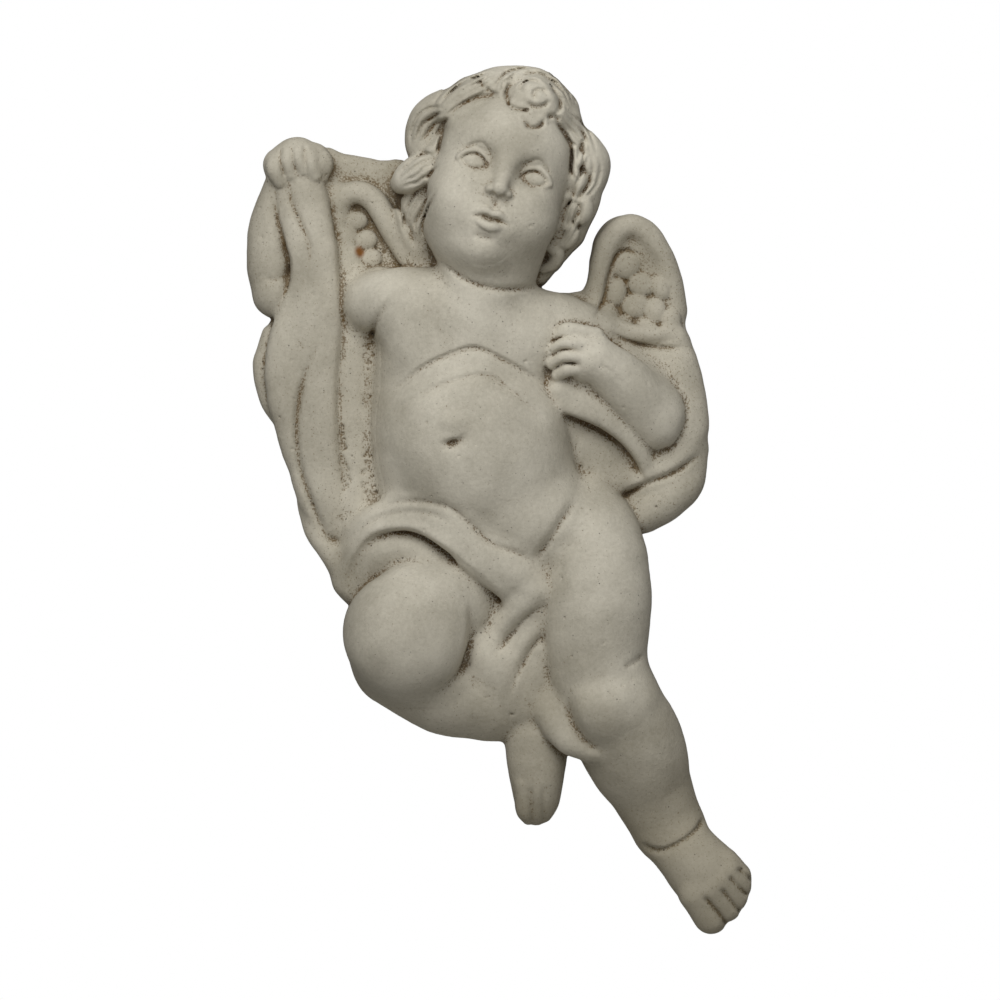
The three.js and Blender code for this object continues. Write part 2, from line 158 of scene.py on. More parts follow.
class Clay:
    """A block of distances to the figure's surface, below zero inside it, on axes x, out, z."""

    def __init__(self, low, high, step):
        self.step = step
        self.low = np.array(low, float)
        self.axes = [np.arange(a, b + step, step, dtype=np.float32) for a, b in zip(low, high)]
        self.field = np.full([len(axis) for axis in self.axes], FAR, np.float32)

    def window(self, low, high):
        """The part of the block between two corners, and its three coordinates."""
        first = np.maximum(np.floor((np.array(low) - self.low) / self.step).astype(int), 0)
        last = np.ceil((np.array(high) - self.low) / self.step).astype(int) + 1
        part = tuple(slice(a, max(a, min(b, n))) for a, b, n in zip(first, last, self.field.shape))
        x, out, z = (axis[s] for axis, s in zip(self.axes, part))
        return part, x[:, None, None], out[None, :, None], z[None, None, :]

    def join(self, part, distance, blend, carve=False):
        if carve:
            self.field[part] = -smooth_min(-self.field[part], distance, blend)
        else:
            self.field[part] = smooth_min(self.field[part], distance, blend)

    def tube(self, rows, blend=2.0, steps=8, flat=1.0):
        """A round form of changing radius along a smooth line through (x, z, out, radius)."""
        line = smooth_line([(x, out, z, radius) for x, z, out, radius in rows], steps)
        pad = line[:, 3].max() + max(blend, REACH) + self.step
        corners = line[:, :3].min(0) - pad, line[:, :3].max(0) + pad
        whole, *_ = self.window(*corners)
        start = [s.start for s in whole]
        best = np.full([s.stop - s.start for s in whole], FAR, np.float32)
        for a, b in zip(line[:-1], line[1:]):
            part, x, out, z = self.window(np.minimum(a, b)[:3] - pad, np.maximum(a, b)[:3] + pad)
            here = tuple(slice(s.start - o, s.stop - o) for s, o in zip(part, start))
            px, py, pz = x - a[0], (out - a[1]) / flat, z - a[2]
            vx, vy, vz = b[0] - a[0], (b[1] - a[1]) / flat, b[2] - a[2]
            t = np.clip((px * vx + py * vy + pz * vz) / (vx * vx + vy * vy + vz * vz + 1e-9), 0, 1)
            far = np.sqrt((px - t * vx) ** 2 + (py - t * vy) ** 2 + (pz - t * vz) ** 2)
            best[here] = np.minimum(best[here], (far - a[3] - t * (b[3] - a[3])) * min(1.0, flat))
        self.join(whole, best, blend)

    def oval(self, place, radii, blend=3.0, axes=None, carve=False):
        """An ellipsoid at (x, z, out), with radii across, out and up along its own axes."""
        middle = np.array([place[0], place[2], place[1]], float)
        radii = np.array(radii, float)
        axes = np.eye(3) if axes is None else axes
        reach = np.sqrt(((axes * radii[:, None]) ** 2).sum(0)) + max(blend, REACH) + self.step
        part, x, out, z = self.window(middle - reach, middle + reach)
        offset = x - middle[0], out - middle[1], z - middle[2]
        own = [sum(axis[i] * offset[i] for i in range(3)) / r for axis, r in zip(axes, radii)]
        level = np.sqrt(sum(q * q for q in own))
        slope = np.sqrt(sum((q / r) ** 2 for q, r in zip(own, radii))) + 1e-6
        self.join(part, level * (level - 1) / slope, blend, carve)

    def slab(self, outline, height, rounding, blend=0.0, steps=4):
        """A low flat ground inside a smooth outline of (x, z), with a rounded front edge."""
        line = smooth_line(outline, steps, closed=True)
        pad = max(blend, REACH) + self.step
        low, high = line.min(0) - pad, line.max(0) + pad
        part, x, out, z = self.window((low[0], -FAR, low[1]), (high[0], height + pad, high[1]))
        x, z = x[:, 0, :], z[:, 0, :]
        edge, _, _ = distance_to_line(x, z, np.vstack([line, line[:1]]))
        inside = np.zeros(edge.shape, bool)
        for (ax, az), (bx, bz) in zip(line, np.roll(line, -1, 0)):
            inside ^= ((az > z) != (bz > z)) & (x < (bx - ax) * (z - az) / (bz - az + 1e-12) + ax)
        edge = np.where(inside, -edge, edge)[:, None, :] + rounding
        top = out - (height - rounding)
        corner = np.hypot(np.maximum(edge, 0), np.maximum(top, 0))
        self.join(part, np.minimum(np.maximum(edge, top), 0) + corner - rounding, blend)

    def crease(self, points, depth, width, edge=None, taper=0.25, above=3.5):
        """Presses a line of (x, z) into the front, or raises it where the depth is below zero.

        With an edge, the left of the line keeps its height to within that much of the line, and
        the hollow lies to the right, as under the lip of a cloth."""
        line = smooth_line(points, 6)
        pad = 3 * width
        low, high = line.min(0) - pad, line.max(0) + pad
        part, x, out, z = self.window((low[0], above, low[1]), (high[0], FAR * 3, high[1]))
        far, along, left = distance_to_line(x[:, 0, :], z[:, 0, :], line)
        press = depth * np.exp(-((far / np.where(left, edge or width, width)) ** 2))
        press *= np.clip(np.minimum(along, 1 - along) / taper + 0.1, 0, 1)
        rise = np.clip((out - above) / CREASE_RISE, 0, 1)
        self.field[part] += press[:, None, :].astype(np.float32) * rise

    def fill_behind(self):
        """Carries every form back to the wall, a little wider on the way."""
        for layer in range(self.field.shape[1] - 2, -1, -1):
            behind = self.field[:, layer, :]
            np.minimum(behind, self.field[:, layer + 1, :] - DRAFT * self.step, out=behind)

    def cut_back(self):
        """Cuts the back flat at the wall."""
        self.field = np.maximum(self.field, -self.axes[1][None, :, None])


def turned(degrees):
    """Axes turned clockwise in the plane of the wall."""
    a = math.radians(degrees)
    return np.array([[math.cos(a), 0, -math.sin(a)], [0, 1, 0], [math.sin(a), 0, math.cos(a)]])


def head_axes():
    """The head's own axes: to the right, out of the face, and up through the crown."""
    lean, lift, turn = (math.radians(a) for a in (HEAD_LEAN, HEAD_LIFT, HEAD_TURN))
    right = np.array([math.cos(lean), 0, -math.sin(lean)])
    up = np.array([math.sin(lean), 0, math.cos(lean)])
    out = np.array([0, 1.0, 0])
    out, up = math.cos(lift) * out + math.sin(lift) * up, math.cos(lift) * up - math.sin(lift) * out
    cos, sin = math.cos(turn), math.sin(turn)
    return np.array([cos * right - sin * out, cos * out + sin * right, up])


class Head:
    """Adds forms to the clay at places given on the head: (right, up, out) from its middle."""

    def __init__(self, clay):
        self.clay = clay
        self.axes = head_axes()

    def at(self, right, up, out):
        x, y, z = right * self.axes[0] + out * self.axes[1] + up * self.axes[2]
        return HEAD_PLACE[0] + x, HEAD_PLACE[1] + z, HEAD_PLACE[2] + y

    def lobe(self, place, radii, blend, carve=False):
        self.clay.oval(self.at(*place), radii, blend, self.axes, carve)

    def line(self, rows, blend):
        self.clay.tube([(*self.at(r, u, o), radius) for r, u, o, radius in rows], blend)

    def crease(self, points, depth, width, edge=None):
        self.clay.crease([self.at(*p)[:2] for p in points], depth, width, edge)


def add_grounds(clay):
    """The cloth held out by the raised hand, and the near wing with the sling below it."""
    clay.slab([
        (-57, 41.1), (-49.5, 45.6), (-43.5, 43.5), (-33, 41.7), (-23.4, 39.6), (-12, 15),
        (-12, -60), (-21, -78), (-33.6, -90.6), (-39.9, -90.6), (-45, -82.5), (-52.2, -74.7),
        (-56.7, -63.6), (-57.6, -51), (-62.4, -39), (-67.5, -31.2), (-69.3, -21), (-66.3, -7.5),
        (-61.5, 3), (-60, 30),
    ], GROUND, 3.0)
    clay.slab([(-45.6, 3), (-21, 3), (-21, -66), (-43.5, -69),
        (-46.5, -36)], GROUND + 3.5, 2.0, 2.0)
    clay.slab([
        (9, -3), (27.9, 2.4), (30.6, 11.4), (32.1, 18.6), (36.3, 23.4), (41.1, 24.9), (46.5, 23.1),
        (51.9, 17.4), (55.8, 9), (57.6, 0), (58.5, -8.1), (60, -15.6), (62.4, -25.5), (64.2, -36),
        (64.2, -43.5), (62.4, -51.6), (58.8, -59.4), (52.2, -65.4), (44.4, -69), (33, -63.6),
        (12, -51),
    ], GROUND, 3.5, 2.0)


def add_sling(clay):
    """The cloth that the folded arm lies on."""
    clay.slab([
        (28.5, -10.5), (45, -12.6), (57.9, -15), (60.6, -25.5), (62.1, -36), (60.6, -46.5),
        (54.6, -53.4), (45, -57.6), (33, -55.5), (24, -42),
    ], GROUND + 4.5, 4.0, 3.0)


def add_wings(clay):
    """Two wings: a broad rim that falls away inwards to rows of short rounded feathers."""
    clay.tube([
        (31.2, -3.6, 7, 3.8), (33.6, 10.5, 9.4, 3.4), (35.7, 17.4, 10.4, 3.4),
        (41.1, 21.9, 11, 3.4), (46.8, 19.8, 10.4, 3.4), (51.3, 13.5, 9, 3.4), (53.7, 6, 7, 3.4),
        (54.9, -3, 4.8, 3.6),
    ], 2.5)
    clay.tube([(36.3, 11.4, 4.2, 5.5), (38.4, 16.5, 4.4, 6), (41.4, 18, 4.6, 6),
        (45.6, 15.3, 4.2, 6), (48.6, 9, 3.4, 5.5)], 3)
    clay.tube([
        (-42.9, 9.6, 8, 1.5), (-45, 18, 9, 1.8), (-45.9, 25.8, 9.6, 2.6), (-43.8, 30.3, 10.4, 3.2),
        (-39.3, 31.8, 10.8, 3.3), (-34.5, 29.1, 11, 3.4), (-30, 21.3, 11, 3.3),
        (-25.2, 12.9, 10.6, 2.9), (-20.1, 7.2, 10, 2.2),
    ], 2)
    near = (
        (40.5, 10.5, 4.3, 4.2, 0), (37.8, 2.1, 2.9, 3.9, 10), (45.3, 4.5, 3.9, 3.4, 0),
        (34.8, -4.2, 3.3, 2.9, 20), (43.5, -1.8, 4, 3.5, 0), (49.2, -3.3, 3.2, 3.7, -8),
        (51, 3.6, 2.6, 3.6, -20), (54, -6.3, 2.6, 3.4, 0), (39.6, -7.5, 3.2, 2.6, 0),
        (46.5, -8.1, 3, 2.6, 0),
    )
    far = (
        (-39.6, 23.4, 3, 2.6, 0), (-42.3, 18.6, 2.6, 2.7, 10), (-36.9, 18, 3, 2.8, 0),
        (-41.1, 13.5, 2.6, 2.6, 0), (-35.4, 12.3, 2.9, 2.6, 0), (-39, 9, 2.6, 2, 0),
    )
    for x, z, wide, long, turn in near + far:
        clay.oval((x, z, GROUND - 0.2), (wide + 0.5, 2.6, long + 0.5), 0.3, turned(turn))


def add_trunk(clay):
    clay.tube(
        [(-7.8, -9.6, 12, 20.5), (-7.2, -25.5, 13, 23), (-3.6, -44.4, 14, 27),
            (6.6, -61.5, 12, 22.5)],
        6,
        flat=0.85,
    )
    clay.oval((-4.8, -41.4, 19), (25, 17.5, 21), 8)  # belly
    clay.oval((-17.4, -10.2, 22), (14, 9, 11.5), 7)  # breast
    clay.oval((6.6, -11.4, 22), (15, 9, 11.5), 7)
    clay.tube([(-23.4, -10.5, 14, 8.5), (-24, -30, 13, 9), (-22.8, -49.5, 13, 10),
        (-18.6, -60, 13, 11)], 6)
    clay.oval((13.5, -66, 13), (18, 18, 14), 6)  # hip
    clay.tube([(-3.6, -3, 20, 14), (0.6, 11.4, 22, 14)], 4)  # neck
    clay.tube([(-12, -4.5, 18, 12), (-24, -1.5, 19, 11), (-31.2, -0.9, 18, 9.6),
        (-43.5, -0.9, 5, 7)], 4)
    clay.tube([(3, -7.5, 18, 12), (19.8, -7.8, 16, 9.5), (30.6, -10.5, 12, 7.5)], 4)
    clay.oval((-9.9, -36.9, 36.4), (4.2, 1.9, 2.4), 2)  # fold over the navel


def add_arms(clay):
    """The arm held up with a fist of cloth, and the one folded across the chest."""
    clay.tube([(-48, 0, 8, 7.5), (-63.3, 1.8, 10, 7.6)], 2)
    clay.tube([(-63.9, 2.7, 8, 7.2), (-65.1, 11.4, 9, 7.9), (-63.9, 23.4, 9.5, 7.6),
        (-60.3, 34.8, 11.5, 6.6)], 1.5)
    clay.tube([(-62.7, 40.2, 14.5, 5), (-57.6, 42.6, 15.5, 5.6), (-52.2, 40.5, 14.5, 4.6)], 2)
    fingers = ((-63.9, 39.6), (-60.6, 42), (-57, 42.9), (-53.4, 41.7))
    for x, z in fingers:
        clay.tube([(x + 0.6, z + 2.4, 15.5, 2.4), (x - 0.4, z - 0.8, 18.8, 2.4),
            (x + 1.2, z - 4.8, 17.6, 2.1)], 0.8)
    clay.tube([(-51.6, 43.5, 14.5, 3), (-49.8, 40.2, 15, 2.9),
        (-50.7, 36.6, 14, 2.4)], 0.8)  # thumb
    clay.tube([(33, -12, 11, 6.5), (43.2, -23.4, 12, 7.5), (49.5, -33.6, 14, 8.4)], 3)
    clay.tube([(49.5, -36, 13.5, 8.8), (45, -30.6, 16.8, 9.1), (37.5, -22.5, 22, 8.2),
        (31.2, -17.7, 25.5, 7)], 2.5)
    clay.tube([(31.2, -13.5, 25.5, 3.6), (29.4, -17.4, 26.5, 4.6),
        (27.6, -21.3, 25.5, 3.6)], 2)  # back of the hand
    fingers = (
        ((31.2, -11.1, 26.5), (23.7, -9.3, 28.5), (19.5, -11.7, 25.5), 2.4),
        ((30.6, -14.4, 28), (23.1, -13.2, 30), (18.3, -15.6, 26), 2.5),
        ((30, -18, 28), (23.7, -17.1, 30), (18.9, -19.2, 26), 2.4),
        ((28.5, -21.3, 26.5), (23.7, -21, 28.5), (20.1, -22.8, 25.5), 2.1),
    )
    for root, knuckle, tip, radius in fingers:
        clay.tube([(*root, radius + 0.3), (*knuckle, radius), (*tip, radius - 0.3)], 0.9)


def add_legs(clay):
    """One leg straight and turned out, the other drawn up with its shin crossing behind."""
    clay.tube([
        (30.6, -60.9, 12, 8.5), (31.2, -73.5, 15, 14.5), (31.5, -90, 17, 16.6),
        (31.5, -105, 16, 15.6), (33.6, -119.4, 15, 14.6),
    ], 4)
    clay.oval((33, -121.5, 26), (8.6, 7.5, 9), 2.5)  # knee
    clay.tube([(15, -115.2, 13, 5), (18.6, -124.2, 18.5, 5), (23.4, -131.1, 21.5, 4.4),
        (29.4, -134.7, 21.5, 3.2)], 4)
    clay.tube([(36.9, -123.3, 15.5, 15), (42.6, -133.5, 9.8, 15.5), (47.4, -144.9, 5, 12.6),
        (53.1, -156.9, 2, 10.8)], 4)
    clay.tube([(-3, -87.6, 7, 12), (-15, -90.9, 16, 16), (-24, -99, 22, 18)], 3)
    clay.oval((-25.5, -100.2, 25), (16.5, 13.5, 16), 7)  # knee
    clay.tube([(-25.8, -106.8, 8.5, 16), (-13.5, -115.5, 9, 14.4), (-2.1, -119.1, 9, 12.6),
        (6.6, -123.3, 8, 9)], 7)
    clay.tube([(-6, -102, 12, 11), (1.8, -110.4, 13, 10.5), (8.4, -120, 11, 9)], 2)
    clay.tube([(4.5, -85.5, 2, 15), (9, -102, 4, 15), (13.5, -117, 5, 13)], 3)
    clay.tube([(14.1, -131.4, 9.5, 9.6), (14.1, -142.5, 10, 8), (14.1, -150, 8, 6.4),
        (13.8, -153.3, 6.5, 4)], 2)
    clay.tube([(10.2, -144.6, 14, 2.7), (10.8, -151.8, 11.5, 3), (11.7, -154.8, 9.5, 2.2)], 0.8)
    clay.tube([(14.1, -145.8, 14.5, 2.4), (14.4, -152.4, 11, 2.4), (14.4, -155.4, 8.5, 1.7)], 0.8)
    clay.tube([(17.4, -145.8, 13, 2.2), (17.1, -151.8, 10, 2.2), (16.5, -154.5, 8, 1.6)], 0.8)
    clay.tube([(54.6, -160.2, 3.5, 9.4), (60, -166.8, 5.5, 10), (64.5, -171.9, 6, 10.6),
        (67.2, -174.9, 5, 10.2)], 3)
    toes = (
        ((61.8, -177.9, 11, 5.2), (66, -184.8, 8.5, 5)),
        ((66.6, -176.1, 12.5, 3.7), (71.4, -182.1, 9.5, 3.5)),
        ((69.6, -173.1, 12.5, 3.4), (73.8, -178.8, 9.5, 3.2)),
        ((71.4, -170.7, 11.6, 3.1), (75, -175.2, 9, 3)),
        ((70.8, -168.3, 9.5, 3.4), (75, -171.9, 8.5, 3)),
    )
    for toe in toes:
        clay.tube(toe, 2.2)


def add_head(clay):
    """A child's face in ordinary proportions: low eyes, full cheeks, a small nose and mouth."""
    head = Head(clay)
    head.lobe((0, 5, -2), (21.5, 23, 22), 4)  # skull
    head.lobe((0, 8, 4), (19, 20, 15), 5)  # forehead
    head.lobe((0, -10, 1), (19.6, 20.5, 18), 6)  # jaw
    head.lobe((0, -19.5, 2), (17, 15.5, 11.5), 6)  # under the chin
    for s in LEFT_RIGHT:
        head.lobe((s * 9.8, -11.5, 11.5), (8.6, 8.6, 8.6), 7)  # cheek
    head.lobe((0, -25.2, 11.5), (6.5, 7, 5), 5)  # chin
    for s in LEFT_RIGHT:
        head.lobe((s * 9.2, -1.4, 25), (6, 7.6, 4.4), 3, carve=True)  # eye socket
        head.lobe((s * EYE[0], EYE[1], EYE[2]), EYE_RADII, 0.8)
        for lid, radius in ((UPPER_LID, 1.1), (LOWER_LID, 0.8)):
            rows = []
            for right, up in lid:
                across = ((right - EYE[0]) / EYE_RADII[0]) ** 2 + ((up - EYE[1]) / EYE_RADII[2]) ** 2
                bulge = EYE_RADII[1] * math.sqrt(max(1 - across, 0.1))
                rows.append((s * right, up, EYE[2] + bulge + 0.25, radius))
            head.line(rows, 0.15)
    head.line([(0, 3, 20, 1.8), (0, -4, 22.2, 1.9), (0, -8.6, 24, 2.1)], 3.5)  # nose
    head.lobe((0, -8.9, 24.2), (2.4, 2.3, 2.1), 1.5)
    for s in LEFT_RIGHT:
        head.lobe((s * 2.7, -9.5, 22.4), (1.7, 2.2, 1.5), 1)  # side of the nose
        head.lobe((s * 1.5, -11.1, 23.6), (0.9, 1.3, 0.8), 0.3, carve=True)
    head.lobe((0, -17.6, 17.6), (7.8, 4, 5.4), 4)
    bow = [(s * 2, -16, 22.2, 1.4) for s in LEFT_RIGHT]
    head.line([(-6, -17.6, 19.6, 0.7), bow[0], (0, -16.5, 22.4, 1.2), bow[1], (6, -17.6, 19.6, 0.7)], 0.5)
    head.line([(-4.9, -18.9, 19.8, 0.8), (0, -20.2, 22, 1.75), (4.9, -18.9, 19.8, 0.8)], 0.5)


def add_face_lines(clay):
    """The fine lines of the face: lid folds, the parting of the lips and the groove over them."""
    head = Head(clay)
    for s in LEFT_RIGHT:
        head.crease([(s * 4.2, 0.4, 20), (s * 9, 3.5, 21), (s * 14.4, 0, 18)], 0.5, 0.5)
        head.crease([(s * right, up - 1.1, EYE[2] + 4) for right, up in UPPER_LID], 0.8, 0.45)
        head.crease([(s * right, up + 0.9, EYE[2] + 4) for right, up in LOWER_LID], 0.5, 0.45)
    head.crease([(-6.2, -18, 20), (-2, -17.8, 22), (0, -18.2, 22), (2, -17.8, 22),
        (6.2, -18, 20)], 1.2, 0.55)
    head.crease([(0, -11.6, 22), (0, -15.4, 22)], 0.5, 0.9)
    head.crease([(-3.6, -22.9, 18), (0, -23.2, 19), (3.6, -22.9, 18)], 0.6, 1.2)


def add_hair(clay):
    """Loose locks all round the head, with a cluster of curls over the forehead."""
    locks = (
        (2, ((-11.4, 55.8, 26, 7), (-16.2, 52.8, 23, 7.3), (-18.9, 48, 21, 6.4),
            (-18.6, 42.9, 21, 5))),
        (1.5, ((-12.9, 53.4, 30, 3), (-14.7, 48.6, 30, 2.8), (-16.8, 44.4, 28, 2.6))),
        (1, ((-16.8, 40.2, 26, 3.6), (-20.1, 38.4, 25, 5), (-23.7, 36.3, 22, 4.8),
            (-26.1, 34.8, 19, 3.4))),
        (2, ((-16.2, 34.8, 20, 4), (-19.8, 30, 16, 5.4), (-22.8, 23.4, 12.5, 5.6),
            (-21, 15, 11, 5), (-18, 8.4, 10, 3.6))),
        (1, ((-18, 31.2, 20, 2.4), (-21.3, 27, 18, 2.6), (-24.3, 23.4, 15, 2.2))),
        (1, ((-18.6, 25.8, 18, 2.2), (-21, 21, 16.5, 2.6), (-20.7, 15.6, 14, 2.4))),
        (2.5, ((-11.1, 55.8, 31, 4.6), (-6, 59.7, 31.5, 5.4), (0, 62.1, 31, 5.4))),
        (2, ((-4.5, 58.2, 26, 8.5), (3.9, 60, 26, 9), (12.6, 59.7, 26, 9), (18.6, 55.8, 24, 8))),
        (2, ((2.7, 60, 35, 3), (4.8, 63, 33, 3.4), (9.6, 64.8, 30.5, 3.4),
            (16.5, 63.6, 29.5, 3.4), (20.1, 59.7, 29, 3))),
        (1, ((6.6, 56.4, 39, 2.2), (10.2, 53.7, 40.5, 2.3), (12.6, 51.6, 40, 2.6),
            (15, 52.2, 39, 2.2))),
        (1.5, ((16.8, 54.6, 37, 2.6), (19.8, 54.3, 35, 3), (22.8, 51.6, 31, 3))),
        (1.5, ((18.6, 58.8, 32, 4.6), (21.9, 54, 28, 5), (23.7, 48.6, 26, 4.4))),
        (1.5, ((23.7, 49.2, 28, 4.4), (28.8, 43.2, 24, 5.7), (29.7, 38.1, 22, 5.6),
            (25.8, 33, 24, 4.2))),
        (2, ((24.6, 46.2, 23, 6), (27.3, 39.6, 22.5, 6.4), (26.4, 30.6, 20.5, 6),
            (23.1, 20.4, 16.5, 5))),
        (1.2, ((24.6, 46.2, 29, 2.6), (26.1, 42, 29, 2.8), (25.2, 37.2, 29, 2.8),
            (27.6, 33.6, 26, 2.6))),
        (1.2, ((24.3, 36, 29, 2.4), (26.1, 30.9, 26, 3), (24, 26.4, 25.5, 2.8),
            (24.3, 22.2, 21, 2.4))),
        (1.5, ((27.3, 31.2, 20, 5), (24.6, 25.2, 19, 4.8), (23.1, 19.5, 17, 4.2),
            (18.9, 12.9, 15, 3.4), (14.4, 7.2, 14, 2.8))),
        (1.2, ((22.2, 27.6, 25.5, 2.2), (21.6, 22.8, 23.5, 2.6), (20.1, 18, 20.5, 2.4),
            (18.3, 13.8, 18, 2))),
        (1, ((24, 30, 27, 2.2), (27.3, 28.2, 26, 2.8), (27.3, 24.9, 25, 2.7),
            (24.3, 23.1, 24.5, 2))),
        (1, ((21.3, 22.2, 24, 2), (24, 20.7, 23.5, 2.5), (23.4, 17.4, 22, 2.4),
            (20.4, 15.9, 21, 1.8))),
        (1, ((18, 15.3, 21, 1.8), (20.1, 13.5, 20, 2.2), (18.9, 10.5, 18.5, 2),
            (15.9, 9, 17.5, 1.6))),
    )
    for blend, lock in locks:
        clay.tube(lock, blend)
    clay.oval((FOREHEAD_CURL[0], FOREHEAD_CURL[1], FOREHEAD_CURL[2] - 6), (7.2, 6, 6.8), 2)


def comb(clay, line, spread, strands, draw):
    """Parts a lock into strands that run along its line and meet at its ends."""
    path = smooth_line(line, 2)
    along = np.gradient(path, axis=0)
    across = np.stack([-along[:, 1], along[:, 0]], 1) / np.linalg.norm(along, axis=1)[:, None]
    belly = np.sin(np.linspace(0.2, 0.9, len(path)) * math.pi)[:, None]
    for offset in np.linspace(-spread, spread, strands):
        stray = draw.uniform(-0.35, 0.35, (len(path), 1))
        clay.crease(path + across * (offset * belly + stray), draw.uniform(0.7, 1.15), 0.5, taper=0.3)


def add_hair_lines(clay):
    """Partings between the locks, and the strands combed along them."""
    clay.oval((-17.7, 49.5, 30.5), (3, 4, 4), 3.5, turned(10), carve=True)
    partings = (
        ((-3.6, 65.4), (-1.8, 62.4), (0.9, 60.6), (3.3, 60)),
        ((5.1, 57.9), (6.3, 56.4), (9.6, 55.2), (12, 55.5)),
        ((9.6, 60.3), (9, 62.2), (10.8, 63.9), (13.2, 63.9), (15.9, 63)),
        ((13.8, 58.2), (12.9, 60), (13.8, 61.2), (15.9, 61.2), (17.4, 59.4)),
        ((16.8, 62.4), (20.1, 59.7), (20.8, 56.4), (19.2, 53.7)),
        ((10.8, 57.6), (13.2, 56.4), (15.9, 56.7), (17.7, 58.2)),
        ((10.2, 52.2), (11.8, 50.1), (14.7, 50.5), (16.2, 52.9)),
        ((16.8, 53.2), (18.9, 53.7), (21, 52.5)),
        ((5.4, 57.6), (4.8, 61.2), (7.2, 64.8), (12.3, 66.6), (17.4, 65.4), (21, 61.2)),
        ((26.7, 51), (28.2, 47.4), (26.7, 43.8), (26.1, 40.2)),
        ((25.2, 39), (28.2, 37.5), (29.7, 34.5), (27.3, 30.9), (25.2, 28.5)),
        ((24.6, 28.8), (26.7, 27.3), (25.8, 24.3), (23.1, 21.6)),
        ((-15.9, 48), (-14.4, 51), (-12.3, 53.4)),
        ((-27.6, 30.6), (-26.4, 25.8), (-24.3, 21.3), (-22.2, 15.6)),
    )
    for parting in partings:
        clay.crease(parting, 1.3, 0.65, taper=0.2)
    hairline = (
        ((-12.6, 53.7), (-9.9, 56.7), (-5.4, 58.8), (-0.6, 60), (3.9, 58.5)),
        ((20.7, 52.2), (23.1, 48), (24.3, 43.2), (24.3, 37.2), (24.9, 31.2), (22.8, 25.8),
            (21.3, 20.4)),
        ((-15.9, 42), (-14.7, 47.4), (-12.9, 52.8)),
    )
    for line in hairline:  # the locks stand over the face
        clay.crease(line, 1.2, 1.1, 0.5)
    draw = np.random.default_rng(STRAND_SEED)
    locks = (
        (((-13.2, 56.4), (-8.4, 60.3), (-2.4, 63.6), (3, 66)), 2.8, 4),
        (((-16.8, 54.6), (-12, 60.3), (-5.4, 64.5), (1.2, 67.5)), 2.2, 3),
        (((3, 60), (4.2, 63.6), (8.1, 66.3), (13.8, 67.5)), 2.0, 3),
        (((15, 67.2), (19.8, 64.5), (22.8, 60.6), (24.6, 54.6)), 2.6, 4),
        (((21, 54.6), (24, 51), (27.6, 46.8), (30.6, 41.4)), 3.2, 4),
        (((30.6, 42), (30.3, 37.2), (27.9, 33), (26.1, 28.8)), 2.6, 3),
        (((24.6, 47.4), (26.1, 42.9), (25.5, 38.4), (27, 34.2)), 1.6, 2),
        (((27, 31.2), (24.9, 25.8), (23.1, 20.4), (19.5, 13.8)), 2.4, 4),
        (((-12.6, 54.6), (-17.4, 53.7), (-20.7, 50.4), (-22.2, 45)), 2.6, 3),
        (((-15.9, 41.1), (-19.8, 39.3), (-23.4, 36.9), (-27.3, 33.9)), 3.2, 4),
        (((-17.4, 33), (-21, 27.9), (-22.8, 22.2), (-21, 15)), 3.0, 4),
    )
    for line, spread, strands in locks:
        comb(clay, line, spread, strands, draw)


